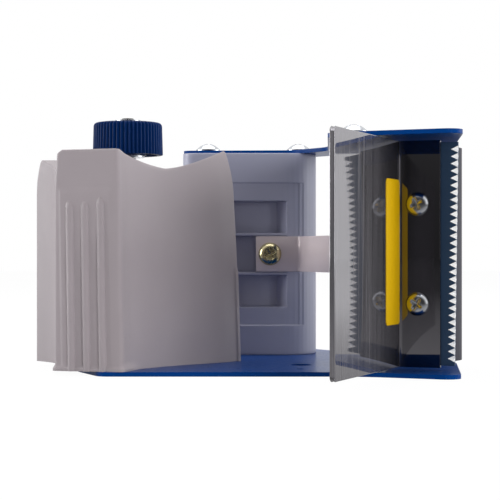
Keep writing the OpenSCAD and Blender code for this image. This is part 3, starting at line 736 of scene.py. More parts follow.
    def plan(self, z: float) -> np.ndarray:
        """Plan outline at one height: tip, hollow finger side, back, left side, with rounded corners.

        Every height has the same number of points on each side, so that corners line up. Towards the flare
        the finger side is a running mean, which softens its meeting with the flare.

        Args:
            z: Height.

        Returns:
            Points, shape (n, 2), anticlockwise from the left corner of the tip.
        """
        up = z - Z_MID
        right = self.right_line(z)
        taper = self.tip_taper * float(1 - np.clip((up - self.taper_up[0]) / self.taper_up[1], 0.0, 1.0))
        tip_l = np.array(self.tip_left) - np.array([taper, 0.0])
        tip_r = np.array(self.tip_right) + np.array([self.tip_lean - self.tip_draft * up, 0.0])
        out = np.array(self.flare_left) - np.array(self.waist_left)
        past = np.array(self.flare_left) + out / np.linalg.norm(out) * self.overrun[1]
        waist = (*self.waist_left, self.waist_r)
        left = fillet([tuple(past), waist, tuple(tip_l)], steps=12, closed=False)[::-1]
        far = self.back_at(z)
        y_right = np.linspace(self.finger_start[1], far - self.back_gap, 150)
        y_left = np.linspace(far - self.back_gap, self.tip_left[1] + self.left_gap, 90)
        face = tip_l + np.linspace(*self.face_share, 170)[:, None] * (tip_r - tip_l)
        far_corner = np.array([np.interp(far, right[:, 1], right[:, 0]), far])
        end = np.array([np.interp(far, left[:, 1], left[:, 0]), far])
        back = far_corner + np.linspace(*self.back_share, 40)[:, None] * (end - far_corner)
        shifts = np.linspace(-self.soft_half, self.soft_half, 21)
        soft = np.mean([np.interp(y_right + d, right[:, 1], right[:, 0]) for d in shifts], axis=0)
        x_right = np.interp(y_right, right[:, 1], right[:, 0])
        x_right = x_right + ease(y_right, *self.soft_y) * (soft - x_right)
        corners: list[tuple[float, ...]] = [(*tip_l, self.tip_corner_r)]
        corners += [tuple(p) for p in face]
        corners += [(*tip_r, self.tip_round)]
        corners += list(zip(x_right, y_right))
        corners += [(*far_corner, self.back_corner_r)]
        corners += [tuple(p) for p in back]
        corners += [(*end, self.back_corner_r)]
        corners += list(zip(np.interp(y_left, left[:, 1], left[:, 0]), y_left))
        return fillet(corners, steps=6)

    def relief(self, flat: np.ndarray, z: np.ndarray) -> np.ndarray:
        """Outward height of the ribs, step and foot ledge on the tip, and of the bead on the right flare.

        Ribs are half circles across the tip that fade into a round end at their top. The step is a shallow
        raised field round them. The ledge is a low step at the foot. The bead is a narrow strip along the
        flare's lower edge.

        Args:
            flat: Plan points, shape (u, v, 2).
            z: Heights, shape (u, v).

        Returns:
            Heights, shape (u, v).
        """
        a, b = np.array(self.tip_left), np.array(self.tip_right)
        along = (b - a) / np.linalg.norm(b - a)
        across = np.array([along[1], -along[0]])
        s = (flat - a) @ along + self.rib_lean * (z - Z_MID)
        near = np.abs((flat - a) @ across) < self.face_band
        width = float(np.linalg.norm(b - a))
        proud = self.rib_proud[0] + self.rib_proud[1] * ease(self.rib_top - z, 0.0, self.rib_run)
        out = np.zeros_like(z)
        for place, more in zip(self.rib_places, self.rib_more):
            cap = np.clip((z - (self.rib_top + more)) / (2 * self.rib_r), 0.0, None)
            inside = self.rib_r**2 * np.clip(1 - cap**2, 0.0, None) - (s - place * width) ** 2
            out = np.maximum(out, np.sqrt(np.clip(inside, 0.0, None)) * proud)
        lip_top = Z_IN + self.lip_h
        ledge = self.lip * (1 - ease(z, lip_top - self.lip_edge[0], lip_top + self.lip_edge[1]))
        front = ease(-flat[..., 1], *self.lip_from)
        step = self.step * (1 - ease(z, Z_MID + self.step_up[0], Z_MID + self.step_up[1]))
        step = step * ease(s, *self.step_left) * ease(width - s, *self.step_right)
        bead = self.bead * ease(flat[..., 1], self.back - self.bead_from[0], self.back - self.bead_from[1])
        bead = bead * (flat[..., 0] > self.finger_end[0])
        bead = bead * (1 - ease(z, Z_MID - self.bead_down[0], Z_MID - self.bead_down[1]))
        return np.maximum(np.where(near, out + step, bead), ledge * front)

    def core(self, shell: Shell) -> None:
        """Add the ribs and screw bosses inside the handle.

        A rib is a plate across the hollow whose upper edge runs inside the top. A boss is a plain cylinder.

        Args:
            shell: Shell of the handle.
        """
        foot = Z_IN + self.core_foot
        outline = np.concatenate([self.plan(Z_MID), self.plan(self.level + self.core_up)])
        for x in self.core_ribs:
            beside = (outline[:, 0] > x - self.core_side) & (outline[:, 0] < x + self.core_t + self.core_side)
            wall = outline[beside, 1]
            tip_wall = wall[wall < self.centre[1] + self.core_split].max()
            y = np.linspace(tip_wall + self.core_gap[0], self.back - self.core_gap[1], 30)
            top = self.top_height(np.full_like(y, x), y) - self.wall / 2
            edge = np.concatenate([np.stack([y, top], 1)[::-1], np.stack([y, np.full_like(y, foot)], 1)])
            sides = [np.column_stack([np.full(len(edge), v), edge]) for v in (x, x + self.core_t)]
            shell.tube(np.stack(sides))
        for at in self.bosses:
            top = float(self.top_height(np.array(at[0]), np.array(at[1]))) - self.wall / 2
            post = np.array([[self.boss_r, foot], [self.boss_r, top]])
            shell.tube(revolve(post, np.array(at), steps=40))

    def build(self) -> None:
        """Build one sheet: up the inside, over the foot, up the outside, round the rim and across the top."""
        heights = np.linspace(Z_IN, Z_TOP, 40)
        stack = np.stack([self.plan(float(z)) for z in heights])
        pick = np.arange(stack.shape[1])

        def at(z: np.ndarray) -> np.ndarray:
            """Plan points at given heights, read between the stacked plans.

            Args:
                z: Heights, with one column for each point of a plan.

            Returns:
                Plan points, shape (..., 2).
            """
            level = np.clip((z - Z_IN) / (heights[-1] - Z_IN) * (len(heights) - 1), 0, len(heights) - 1.001)
            low = level.astype(int)
            part = (level - low)[..., None]
            return stack[low, pick] * (1 - part) + stack[low + 1, pick] * part

        # The rim is where the wall meets the top, found by going from one to the other a few times
        rim = at(np.full(len(pick), self.level))
        for _ in range(8):
            rim = at(self.top_height(rim[:, 0], rim[:, 1]))
        top = self.top_height(rim[:, 0], rim[:, 1])
        share = np.concatenate([self.lip_rows, np.linspace(0.05, 1.0, 100)])
        z = Z_IN + share[:, None] * (top - self.edge_r - Z_IN)
        flat = at(z)
        outward = np.stack([normals_2d(row, True) for row in flat])
        outer = flat + outward * self.relief(flat, z)[..., None]
        centre = np.array(self.centre)
        angle = np.linspace(0, math.pi / 2, 6)[1:, None]
        pull = self.edge_r * (1 - np.cos(angle)) / np.linalg.norm(rim - centre, axis=1)
        over = rim + (centre - rim) * pull[..., None]
        over_z = self.top_height(over[..., 0], over[..., 1]) - self.edge_r * (1 - np.sin(angle))
        cover = centre + (over[-1] - centre) * np.linspace(1, self.pole, 30)[1:, None, None]
        cover_z = self.top_height(cover[..., 0], cover[..., 1])
        inside_z = Z_IN + np.linspace(1, 0, 20)[:, None] * (top - self.wall - Z_IN)
        inside = centre + (at(inside_z) - centre) * (1 - self.wall / self.reach)
        ceiling = centre + (inside[0] - centre) * np.linspace(self.pole, 1, 14)[:-1, None, None]
        ceiling_z = self.top_height(ceiling[..., 0], ceiling[..., 1]) - self.wall
        sheets = ((ceiling, ceiling_z), (inside, inside_z), (outer, z), (over, over_z), (cover, cover_z))
        shell = Shell()
        index = shell.grid(np.concatenate([lift(*sheet) for sheet in sheets]), close_v=True)
        shell.cap(index[0])
        shell.cap(index[-1])
        self.core(shell)
        piece = shell.build("handle", HANDLE_ABS, Body.FRAME, sharp_deg=30.0)
        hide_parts("handle_shell")


@dataclass
class Knob:
    """Fluted hand nut: a turned profile whose outer radius is drawn in by upright flutes."""

    radius: float = 15.2
    taper: float = 0.4
    foot: float = 83.3
    height: float = 14.0
    flutes: int = 54
    flute_depth: float = 0.95
    flute_power: float = 1.6
    flute_points: int = 8  # points of the grid on each flute
    flute_from: tuple[float, float] = (1.9, 0.6)  # distances inside the rim between which they come in
    edge: float = 1.6
    foot_edge: float = 0.4
    bore: float = 5.0
    bore_roof: float = 3.5
    pin: float = 2.55
    core: tuple[float, float] = (8.0, 12.8)  # inner and outer radius of the hollow underneath
    core_roof: float = 4.6
    core_r: float = 0.5
    dish: float = 0.5
    dish_outer: tuple[float, float, float] = (11.0, 10.4, 2.0)  # radius at the top, at the floor, rounding
    dish_inner: tuple[float, float, float] = (6.8, 7.4, 1.0)  # the same of the middle

    def build(self) -> None:
        """Build the outside, the cored underside and the bore as one closed turned surface."""
        top = self.foot + self.height
        bore_roof, core_roof, dish = top - self.bore_roof, top - self.core_roof, top - self.dish
        core_in, core_out = self.core
        outer_top, outer_foot, outer_r = self.dish_outer
        inner_top, inner_foot, inner_r = self.dish_inner
        lines = fillet([
            (self.pin, top), (self.pin, bore_roof), (self.bore, bore_roof), (self.bore, self.foot),
            (core_in, self.foot), (core_in, core_roof, self.core_r),
            (core_out, core_roof, self.core_r), (core_out, self.foot),
            (self.radius, self.foot, self.foot_edge), (self.radius - self.taper, top, self.edge),
            (outer_top, top, outer_r), (outer_foot, dish, outer_r),
            (inner_foot, dish, inner_r), (inner_top, top, inner_r),
        ], steps=5)
        grid = revolve(lines, np.zeros(2), self.flutes * self.flute_points)
        r = np.linalg.norm(grid[..., :2], axis=-1)
        angle = np.arctan2(grid[..., 1], grid[..., 0])
        wave = (0.5 + 0.5 * np.cos(self.flutes * angle)) ** self.flute_power
        rim = ease(r, self.radius - self.flute_from[0], self.radius - self.flute_from[1])
        drawn = self.flute_depth * wave * rim
        grid[..., :2] *= ((r - drawn) / r)[..., None]
        shell = Shell()
        shell.grid(grid, close_u=True, close_v=True)
        piece = shell.build("knob", KNOB_NYLON, Body.KNOB, sharp_deg=50.0)
        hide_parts("tension_knob")


@dataclass
class Housing:
    """Moulded spacer: a plan outline carried up Z, pushed in at the front by a hollow with two webs."""

    left: float = 27.0
    right: float = 79.0
    front: float = -72.0
    side_back: float = -45.0
    corner_r: tuple[float, float, float] = (5.0, 13.0, 9.0)  # front left, front right and back right
    roll_r: float = 61.0  # the back is an arc round the hub, which leaves room for the tape
    roll_span: tuple[float, float] = (-0.676, -1.112)  # angles of its ends, in radians
    edge: float = 0.4
    edge_row: float = 0.12  # height of the extra row on the rounded ends
    hollow: float = 9.0
    hollow_h: float = 41.0
    hollow_soft: tuple[float, float] = (0.25, 0.05)  # spread of its edge inwards and outwards
    margin: float = 11.7
    ramp: float = 3.7
    web_z: float = 7.6
    web_t: float = 1.1
    web_soft: tuple[float, float] = (0.05, 0.15)  # the same of a web
    boss_x: float = SPRING_SCREW_AT[0]
    boss_r: float = 4.0
    boss_soft: float = 0.2
    band_h: float = 55.0
    band_step: float = 0.6
    band_soft: float = 0.15
    front_share: tuple[float, float] = (0.75, 0.98)  # part of a normal along -Y where the front starts
    rows_by_step: tuple[float, ...] = (-0.35, -0.2, -0.1, 0.0, 0.1, 0.2, 0.35)  # rows round each step

    def depth(self, x: np.ndarray, z: np.ndarray) -> np.ndarray:
        """Depth of the front below its end panels: a shallow band, then the hollow with sloping ends.

        Two thin webs and a round boss stand in the hollow, level with the band.

        Args:
            x: Positions across the front.
            z: Heights.

        Returns:
            Depths, in the shape that both make together.
        """
        up = np.abs(z - Z_MID)
        band_end, hollow_end, web_half = self.band_h / 2, self.hollow_h / 2, self.web_t / 2
        band = self.band_step * (1 - ease(up, band_end - self.band_soft, band_end + self.band_soft))
        run_in = np.clip((np.minimum(x - self.left, self.right - x) - self.margin) / self.ramp, 0.0, 1.0)
        inside = 1 - ease(up, hollow_end - self.hollow_soft[0], hollow_end + self.hollow_soft[1])
        off_web = np.abs(up - self.web_z)
        web = 1 - ease(off_web, web_half - self.web_soft[0], web_half + self.web_soft[1])
        off_boss = np.hypot(x - self.boss_x, z - Z_MID)
        boss = 1 - ease(off_boss, self.boss_r - self.boss_soft, self.boss_r + self.boss_soft)
        return band + (self.hollow - self.band_step) * inside * run_in * (1 - np.maximum(web, boss))

    def rows(self) -> np.ndarray:
        """Heights of the grid's rows, close together at each step of the front and at both ends.

        Returns:
            Rising heights, shape (n,).
        """
        web_ends = (self.web_z - self.web_t / 2, self.web_z + self.web_t / 2)
        steps = np.array([self.hollow_h / 2, self.band_h / 2, *web_ends])
        close = np.add.outer(steps, self.rows_by_step).ravel()
        half = np.unique(np.concatenate([close, np.linspace(0, GAP_W / 2 - self.edge, 50)]))
        z = Z_MID + np.concatenate([-half[:0:-1], half])
        return np.concatenate([[Z_IN, Z_IN + self.edge_row], z, [Z_OUT - self.edge_row, Z_OUT]])

    def build(self) -> None:
        """Build the housing as one grid: along the plan outline, and up Z with rounded ends."""
        angles = np.linspace(*self.roll_span, 12)
        far = [(self.roll_r * math.cos(a), self.roll_r * math.sin(a)) for a in angles]
        front_left, front_right, back_right = self.corner_r
        corners = [
            (self.left, self.front, front_left), (self.right, self.front, front_right),
            (self.right, self.side_back, back_right), *far,
        ]
        outline = resample(fillet(corners, steps=10), 520, closed=True)
        z = self.rows()
        from_end = np.minimum(z - Z_IN, Z_OUT - z)
        inset = self.edge * (1 - np.sqrt(1 - np.clip(1 - from_end / self.edge, 0, 1) ** 2))
        flat = step_in(outline, inset)
        faces_front = ease(-normals_2d(outline, True)[:, 1], *self.front_share)
        flat[..., 1] += self.depth(outline[None, :, 0], z[:, None]) * faces_front
        shell = Shell()
        shell.tube(lift(flat, z[:, None]))
        piece = shell.build("housing", HOUSING_PS, Body.FRAME, sharp_deg=32.0)
        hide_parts("body_housing")


@dataclass
class Guard:
    """Blade guard: a bent polished sheet with two lugs that carry it on its pivot rod."""

    sheet: float = 1.5
    height: float = 76.4
    panel: float = 66.5
    seat: float = 14.0
    bend_r: float = 1.8
    corner_r: float = 1.4
    rim: float = 0.2
    ear_t: float = 1.5
    ear_r: float = 6.5
    ear_feet: tuple[float, float] = (18.0, 4.0)  # distances of a lug's feet from the bend, along the panel
    ear_sunk: float = 0.6  # share of the sheet's thickness that a lug is sunk into it
    ear_rim: float = 0.15

    def build(self) -> None:
        """Build the sheet as a strip along its bent path, lower at the panel's free corners, and two lugs."""
        mid = BEND_AT + (PANEL_BACK + SEAT_BACK) / (1 + PANEL_BACK @ SEAT_BACK) * self.sheet / 2
        start = BEND_AT + self.panel * PANEL_DIR + PANEL_BACK * self.sheet / 2
        stop = BEND_AT + self.seat * SEAT_DIR + SEAT_BACK * self.sheet / 2
        run = np.linspace(0, self.corner_r, 14)[:, None]
        near = start + run * (mid - start) / np.linalg.norm(mid - start)
        path = fillet([*near, (mid[0], mid[1], self.bend_r), tuple(stop)], steps=20, closed=False)
        from_end = np.clip(self.corner_r - np.linalg.norm(path - start, axis=1), 0.0, self.corner_r)
        drop = self.corner_r - np.sqrt(self.corner_r**2 - from_end**2)
        drop = np.concatenate([drop, drop[::-1]])
        inset, level = rims(self.rim, -self.height / 2, self.height / 2, steps=3)
        z = Z_MID + level[:, None] - np.sign(level)[:, None] * drop[None]
        shell = Shell()
        shell.tube(lift(step_in(strip(path, self.sheet), inset), z))
        inner = PANEL_BACK * self.sheet * self.ear_sunk
        round_end = np.linspace(0, math.pi, 24) + math.atan2(-PANEL_DIR[1], -PANEL_DIR[0])
        arc = PIVOT_AT + self.ear_r * np.stack([np.cos(round_end), np.sin(round_end)], 1)
        ear = np.concatenate([arc, [BEND_AT + d * PANEL_DIR + inner for d in self.ear_feet]])
        for z0 in (Z_MID - self.height / 2, Z_MID + self.height / 2 - self.ear_t):
            shell.prism(ear, z0, z0 + self.ear_t, self.ear_rim)
        piece = shell.build("blade_guard_sheet", GUARD_STAINLESS, Body.GUARD, sharp_deg=30.0)
        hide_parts("blade_guard")


@dataclass
class GroundEdge:
    """Ground flats between the teeth, on the slopes of the V notches, painted white as a highlight of bare
    metal.
    """

    teeth: int = 31
    pitch: float = 2.42
    depth: float = 2.4
    thick: float = 0.9
    land: float = 0.06
    edge_land: float = 0.1
    tip: float = 19.2
    sheet: float = 1.5
    tilt: float = math.radians(0.9)
    skin: float = 0.012
    sunk: float = 0.05

    def build(self) -> None:
        """Build a thin three-sided wafer, painted white as a highlight, on each slope of each notch.

        In the blade's own frame x runs to the edge, y along it and z out of its near face. A slope has its
        corners at the notch's root, at the tooth's tip on the near face and in the middle of the notch on the
        far edge.
        """
        half = self.pitch / 2 - self.land
        mid = (np.arange(1, self.teeth) - self.teeth / 2)[:, None] * self.pitch
        side = np.array([-1.0, 1.0])[None]
        y = mid + 0 * side
        root = np.stack([0 * y - self.depth, y, 0 * y], -1)
        point = np.stack([0 * y, mid + side * half, 0 * y], -1)
        floor = np.stack([0 * y, y, 0 * y - self.thick + self.edge_land], -1)
        slope = np.stack([root, point, floor], -2).reshape(-1, 3, 3)
        out = np.cross(slope[:, 1] - slope[:, 0], slope[:, 2] - slope[:, 0])
        out = out / np.linalg.norm(out, axis=1, keepdims=True)
        out = out * np.sign(out[:, 2:])
        wafer = np.stack([slope - self.sunk * out[:, None], slope + self.skin * out[:, None]], 1)
        axes = basis(np.array([*SEAT_DIR, 0.0]), np.array([*-SEAT_BACK, 0.0]))
        at = np.array([*(BEND_AT + self.tip * SEAT_DIR + self.sheet * SEAT_BACK), Z_MID])
        shell = Shell()
        for pair in at + turn_z(wafer, -self.tilt) @ axes:
            shell.tube(pair)
        piece = shell.build("blade_ground_glint", GROUND_GLINT_WHITE, Body.GUARD, sharp_deg=20.0)


@dataclass
class Marker:
    """Self-adhesive strip on the guard's panel: a thin sheet with rounded corners."""

    width: float = 15.2
    height: float = 48.6
    edge: float = 0.4
    rise: float = 0.7
    corner_r: float = 1.6
    thick: float = 0.22
    sunk: float = 0.1
    rim: float = 0.05

    def build(self) -> None:
        """Build the sheet as a rounded outline carried out of the panel."""
        w, h = self.width - self.edge, self.height
        outline = fillet([(x, y, self.corner_r) for x, y in ((0, 0), (w, 0), (w, h), (0, h))])
        shell = Shell()
        shell.prism(outline, -self.sunk, self.thick, self.rim, steps=2)
        start = np.array([*(BEND_AT + self.edge * PANEL_DIR), Z_MID + self.rise - h / 2])
        axes = np.stack([[*PANEL_DIR, 0.0], UP, [*-PANEL_BACK, 0.0]])
        shell.points = [start + np.concatenate(shell.points) @ axes]
        piece = shell.build("marker_sheet", MARKER_VINYL, Body.GUARD, sharp_deg=40.0)
        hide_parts("guard_marker")


@dataclass
class LeafSpring:
    """Flat steel strip from the housing's front to the back of the guard's bend."""

    thick: float = 0.6
    width: float = 13.6
    rim: float = 0.12
    tab_end: float = 55.3
    tab_y: float = -71.7
    turn_x: float = 72.2
    turn_r: float = 1.5
    knee: tuple[float, float] = (5.0, 11.0)  # place of the last bend, left of the end and behind it
    knee_r: float = 4.0
    end_along: float = 3.0  # distance of the end from the guard's bend, along the panel
    end_behind: float = 2.4  # and behind the panel's face

    def build(self) -> None:
        """Build the strip along its path, from the frame to the guard; no body carries it."""
        stop = BEND_AT + self.end_along * PANEL_DIR + self.end_behind * PANEL_BACK
        path = fillet([
            (self.tab_end, self.tab_y), (self.turn_x, self.tab_y, self.turn_r),
            (stop[0] - self.knee[0], stop[1] + self.knee[1], self.knee_r), tuple(stop),
        ], steps=10, closed=False)
        outline = strip(resample(path, 160, closed=False), self.thick)
        shell = Shell()
        shell.prism(outline, Z_MID - self.width / 2, Z_MID + self.width / 2, self.rim, steps=2)
        piece = shell.build("leaf_strip", LEAF_STEEL, None, sharp_deg=40.0)
        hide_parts("leaf_spring")
        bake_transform(piece)


@dataclass
class BrakeSpring:
    """Coil spring under the knob: a round wire along a helix with a close turn at each end."""

    foot: float = 63.0
    head: float = 82.2
    wire: float = 0.8
    coil_r: float = 3.1
    turns: int = 7
    turn_points: int = 28
    close_pitch: float = 1.3
    travel: float = 2.4

    def build(self) -> None:
        """Build the wire as a tube along the coil, closed at both ends."""
        rise = self.head - self.foot - self.wire
        middle = (rise - 2 * self.close_pitch) / (self.turns - 2)
        knots = [0.0, 1.0, self.turns - 1.0, float(self.turns)]
        levels = [0.0, self.close_pitch, self.close_pitch + middle * (self.turns - 2), rise]
        t = np.linspace(0, self.turns, self.turns * self.turn_points + 1)
        z = self.foot + self.wire / 2 + np.interp(t, knots, levels)
        a, b = 2 * math.pi * t[:, None], np.linspace(0, 2 * math.pi, 10, endpoint=False)[None]
        r = self.coil_r + self.wire / 2 * np.cos(b)
        grid = np.stack([r * np.cos(a), r * np.sin(a), z[:, None] + self.wire / 2 * np.sin(b)], -1)
        shell = Shell()
        shell.tube(grid)
        piece = shell.build("brake_coil", SPRING_WIRE, Body.FRAME)
        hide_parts("brake_spring")
        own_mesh(piece)


class Head(Enum):
    """Form of a screw head: radius and crown height in millimetres, and the sharpness of its shoulder."""

    TRUSS = (4.7, 3.1, 2.0)
    PAN = (4.0, 2.4, 4.5)
    WIDE_PAN = (4.4, 2.4, 4.5)


@dataclass
class Screw:
    """Screw with a cross recess: its head is a height over a disc, its shank a plain cylinder."""

    head: Head
    at: np.ndarray
    axis: np.ndarray
    length: float
    turn: float
    shank: float = 2.0
    around: int = 96
    rim_share: float = 0.22
    arm_share: float = 0.56
    slot_share: float = 0.11
    slot_mouth: float = 1.5  # half width of a slot at the crown, in slot widths
    slot_end: float = 1.4  # length of a slot's sloping end, in slot widths
    recess: float = 1.35  # depth at the middle
    recess_least: float = 0.35
    recess_slope: float = 0.9  # depth lost along an arm

    def add_to(self, shell: Shell) -> None:
        """Add the head and the shank to a shell.

        The crown is h(r) = rim + (height - rim) * (1 - (r / radius) ** sharpness), over an upright rim. Two
        crossing slots with sloping sides are sunk into it.

        Args:
            shell: Shell that collects the screws of one node.
        """
        radius, height, sharp = self.head.value
        rim = self.rim_share * height
        # Rings of the head as shares of its radius: over the recess, then out to the rim
        rr = np.concatenate([np.linspace(0.02, 0.62, 20), np.linspace(0.65, 1.0, 14)])[:, None] * radius
        aa = np.linspace(0, 2 * math.pi, self.around, endpoint=False)[None]
        x, y = rr * np.cos(aa), rr * np.sin(aa)
        crown = rim + (height - rim) * (1 - (rr / radius) ** sharp) + 0 * aa
        arm, wide = self.arm_share * radius, self.slot_share * radius
        slots = [
            ease(wide * self.slot_mouth - np.abs(across), 0.0, wide)
            * ease(arm - np.abs(along), 0.0, wide * self.slot_end)
            for across, along in ((y, x), (x, y))
        ]
        deep = self.recess - self.recess_slope * np.hypot(x, y) / arm
        sunk = np.maximum(*slots) * deep.clip(self.recess_least, self.recess)
        top = np.stack([x, y, crown - sunk], -1)
        ring = np.stack([radius * np.cos(aa[0]), radius * np.sin(aa[0])], -1)
        neck = ring * (self.shank / radius)
        side = lift(np.stack([ring, neck, neck]), np.array([[0.0], [0.0], [-self.length]]))
        w = self.axis / np.linalg.norm(self.axis)
        u = np.cross(UP if abs(w[2]) < 0.9 else [1.0, 0.0, 0.0], w)
        axes = basis(u / np.linalg.norm(u), w)
        grid = turn_z(np.concatenate([top, side]), self.turn)
        index = shell.grid(self.at + grid @ axes, close_v=True)
        shell.cap(index[0])
        shell.cap(index[-1])


@dataclass
class Fasteners:
    """Screws that show: domed ones on the outer plate, pan heads on the blade and on the leaf spring."""

    # Each domed screw: x, y, length and turn of its recess
    plate_screws: tuple[tuple[float, ...], ...] = (
        (36.5, -58.0, 14.0, 0.3), (72.2, -58.0, 14.0, 1.1), (*PIVOT_AT, 12.0, 0.7), (*ROLLER_AT, 12.0, 0.2),
    )
    # Each blade screw: side of the middle and turn of its recess
    blade_pair: tuple[tuple[int, float], ...] = ((1, 0.45), (-1, 0.95))
    blade_gap: float = 33.6
    blade_s: float = 6.3
    blade_length: float = 5.6
    leaf_length: float = 12.0
    leaf_turn: float = 0.5

    def build(self) -> None:
        """Build one piece for each node of screws."""
        domes = Shell()
        for x, y, length, turn in self.plate_screws:
            Screw(Head.TRUSS, np.array([x, y, Z_TOP]), UP, length, turn).add_to(domes)
        self.finish(domes, "outer_screws", BRIGHT_ZINC, Body.FRAME, "outer_plate_screws", "zinc_steel")
        pans = Shell()
        near = -np.array([*SEAT_BACK, 0.0])
        for sign, turn in self.blade_pair:
            at = np.array([*(BEND_AT + self.blade_s * SEAT_DIR), Z_MID + sign * self.blade_gap / 2])
            Screw(Head.PAN, at, near, self.blade_length, turn).add_to(pans)
        self.finish(pans, "blade_pan_screws", BRIGHT_ZINC, Body.GUARD, "blade_screws", "zinc_steel")
        wide = Shell()
        at, front = np.array([*SPRING_SCREW_AT, Z_MID]), np.array([0.0, -1.0, 0.0])
        Screw(Head.WIDE_PAN, at, front, self.leaf_length, self.leaf_turn).add_to(wide)
        self.finish(wide, "leaf_screw", YELLOW_ZINC, Body.FRAME, "leaf_spring_screw", "yellow_zinc")

    @staticmethod
    def finish(shell: Shell, name: str, finish: Finish, body: Body, node: str, slot: str) -> None:
        """Build a shell of screws and let it stand for its CAD node.

        Args:
            shell: Shell with the screws.
            name: Name of the piece.
            finish: Its surface.
            body: Body that carries it.
            node: CAD node that it replaces.
            slot: Material slot of the record; not used.
        """
        piece = shell.build(name, finish, body, sharp_deg=42.0)
        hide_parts(node)


@dataclass(frozen=True)
class Lamp:
    """Square soft box: place and side in metres, power in watts; a fill lamp isn't seen in reflections."""

    name: str
    at: tuple[float, float, float]
    size: float
    power: float
    mirrored: bool = True

    def hang(self, look: Sequence[float]) -> None:
        """Add the lamp to the scene.

        Args:
            look: Point that it faces, in metres.
        """
        data = bpy.data.lights.new(self.name, "AREA")
        data.size = self.size
        data.energy = self.power
        lamp = bpy.data.objects.new(self.name, data)
        bpy.context.scene.collection.objects.link(lamp)
        lamp.visible_glossy = self.mirrored
        way = np.array(look) - np.array(self.at)
        way = way / np.linalg.norm(way)
        lamp.location = self.at
        lamp.rotation_euler = (math.acos(-way[2]), 0.0, math.atan2(-way[0], way[1]))


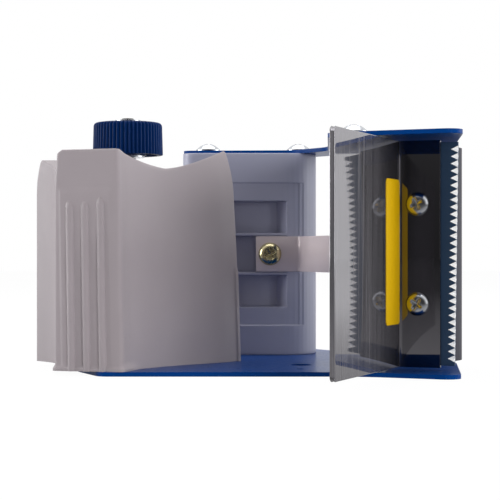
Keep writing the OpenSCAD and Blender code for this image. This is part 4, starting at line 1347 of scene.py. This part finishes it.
@dataclass
class Studio:
    """Pale floor, white surround that is darker behind the camera, five lamps, and the camera.

    The camera's place is in millimetres, and the floor and the lamps are in metres. Two of the lamps are fill
    lamps, which reflections don't show.
    """

    camera_at: tuple[float, float, float] = (53.0, -651.0, 40.5)
    lens: float = 108.0
    sensor: float = 36.0
    shift_y: float = 0.008
    # Strength of the surround in front and behind, and in reflections, by the way that a ray points along Y
    front: float = 0.2
    back: float = 0.78
    soft_y: tuple[float, float] = (-0.4, 0.8)
    mirror: float = 1.0
    dark: float = 0.05
    dark_y: tuple[float, float] = (-0.9, -0.2)
    # Floor
    floor_half: float = 3.0
    paper: str = "#c2c2c4"
    shadow: float = 0.08
    glow: float = 1.05
    near_y: tuple[float, float] = (-0.4, 0.12)
    # Lamps
    look: tuple[float, float, float] = (0.05, -0.1, 0.04)
    lamps: tuple[Lamp, ...] = (
        Lamp("left_box", (-1.02, -0.04, 0.28), 0.6, 7.4),
        Lamp("right_box", (0.62, -1.14, 0.1), 0.6, 11.0, False),
        Lamp("front_box", (0.15, -1.3, 0.2), 0.4, 0.5, False),
        Lamp("rim_box", (1.0, 0.05, 0.3), 0.6, 3.3),
        Lamp("top_box", (0.05, 0.1, 1.1), 0.9, 7.0),
    )

    def world(self) -> None:
        """White to the camera; in reflections white, but dark on the camera's side; soft light elsewhere."""
        world = bpy.data.worlds.new("studio")
        bpy.context.scene.world = world
        tree = blank_tree(world)
        way = add(tree, "ShaderNodeSeparateXYZ", {0: add(tree, "ShaderNodeTexCoord").outputs["Generated"]})
        shiny = add(tree, "ShaderNodeMapRange", {
            "Value": way.outputs["Y"], "From Min": self.dark_y[0], "From Max": self.dark_y[1],
            "To Min": self.dark * self.mirror, "To Max": self.mirror,
        }, interpolation_type="SMOOTHSTEP")
        soft = add(tree, "ShaderNodeMapRange", {
            "Value": way.outputs["Y"], "From Min": self.soft_y[0], "From Max": self.soft_y[1],
            "To Min": self.front, "To Max": self.back,
        }, interpolation_type="SMOOTHSTEP")
        light = add(tree, "ShaderNodeLightPath")
        level = add(tree, "ShaderNodeMix", {
            "Factor": light.outputs["Is Glossy Ray"], "A": soft.outputs["Result"],
            "B": shiny.outputs["Result"],
        })
        seen = add(tree, "ShaderNodeMath", {
            0: light.outputs["Is Camera Ray"], 1: light.outputs["Is Transmission Ray"],
        }, operation="MAXIMUM")
        strength = add(tree, "ShaderNodeMix", {
            "Factor": seen.outputs[0], "A": level.outputs["Result"], "B": 1.0,
        })
        shine = add(tree, "ShaderNodeBackground", {"Color": WHITE, "Strength": strength.outputs["Result"]})
        add(tree, "ShaderNodeOutputWorld", {"Surface": shine.outputs["Background"]})

    def floor(self) -> None:
        """Lay a pale floor that shows as white and keeps a soft shadow."""
        mesh = bpy.data.meshes.new("floor")
        half = self.floor_half
        corners = [(-half, -half, 0), (half, -half, 0), (half, half, 0), (-half, half, 0)]
        mesh.from_pydata(corners, [], [(0, 1, 2, 3)])
        floor = bpy.data.objects.new("floor", mesh)
        bpy.context.scene.collection.objects.link(floor)
        mat = bpy.data.materials.new("floor_paper")
        tree = blank_tree(mat)
        light = add(tree, "ShaderNodeLightPath")
        along = add(tree, "ShaderNodeSeparateXYZ", {0: add(tree, "ShaderNodeTexCoord").outputs["Object"]})
        shiny = add(tree, "ShaderNodeMapRange", {
            "Value": along.outputs["Y"], "From Min": self.near_y[0], "From Max": self.near_y[1],
            "To Min": self.dark * self.mirror, "To Max": self.mirror,
        }, interpolation_type="SMOOTHSTEP")
        level = add(tree, "ShaderNodeMix", {
            "Factor": light.outputs["Is Glossy Ray"], "A": self.glow, "B": shiny.outputs["Result"],
        })
        seen = add(tree, "ShaderNodeMath", {
            0: light.outputs["Is Camera Ray"], 1: light.outputs["Is Glossy Ray"],
        }, operation="MAXIMUM")
        share = add(tree, "ShaderNodeMath", {0: seen.outputs[0], 1: 1 - self.shadow}, operation="MULTIPLY")
        paper = add(tree, "ShaderNodeBsdfDiffuse", {"Color": linear(self.paper)})
        glow = add(tree, "ShaderNodeEmission", {"Color": WHITE, "Strength": level.outputs["Result"]})
        both = add(tree, "ShaderNodeMixShader", {
            0: share.outputs[0], 1: paper.outputs[0], 2: glow.outputs[0],
        })
        add(tree, "ShaderNodeOutputMaterial", {"Surface": both.outputs[0]})
        mesh.materials.append(mat)

    def build(self) -> None:
        """Set the surround, floor, lamps, camera and view transform."""
        self.world()
        self.floor()
        for lamp in self.lamps:
            lamp.hang(self.look)
        data = bpy.data.cameras.new("camera")
        data.lens = self.lens
        data.sensor_width = self.sensor
        data.shift_y = self.shift_y
        camera = bpy.data.objects.new("camera", data)
        bpy.context.scene.collection.objects.link(camera)
        camera.location = tuple(v * MM for v in self.camera_at)
        camera.rotation_euler = (math.pi / 2, 0.0, 0.0)
        bpy.context.scene.camera = camera
        bpy.context.scene.view_settings.view_transform = "Standard"


def dress_nodes() -> None:
    """Give each CAD node that stays visible its finish."""
    for name, finish in NODE_FINISHES.items():
        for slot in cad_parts[name].material_slots:
            slot.material = finish.material()
        LOG.info("%s: %s", name, finish.name)


def main() -> None:
    logging.basicConfig(level=logging.INFO, format="%(name)s %(message)s")
    Studio().build()
    dress_nodes()
    parts = (
        Handle(), Knob(), Housing(), Guard(), GroundEdge(), Marker(), LeafSpring(), BrakeSpring(),
        Fasteners(),
    )
    for part in parts:
        part.build()


if __name__ == "__main__":
    main()
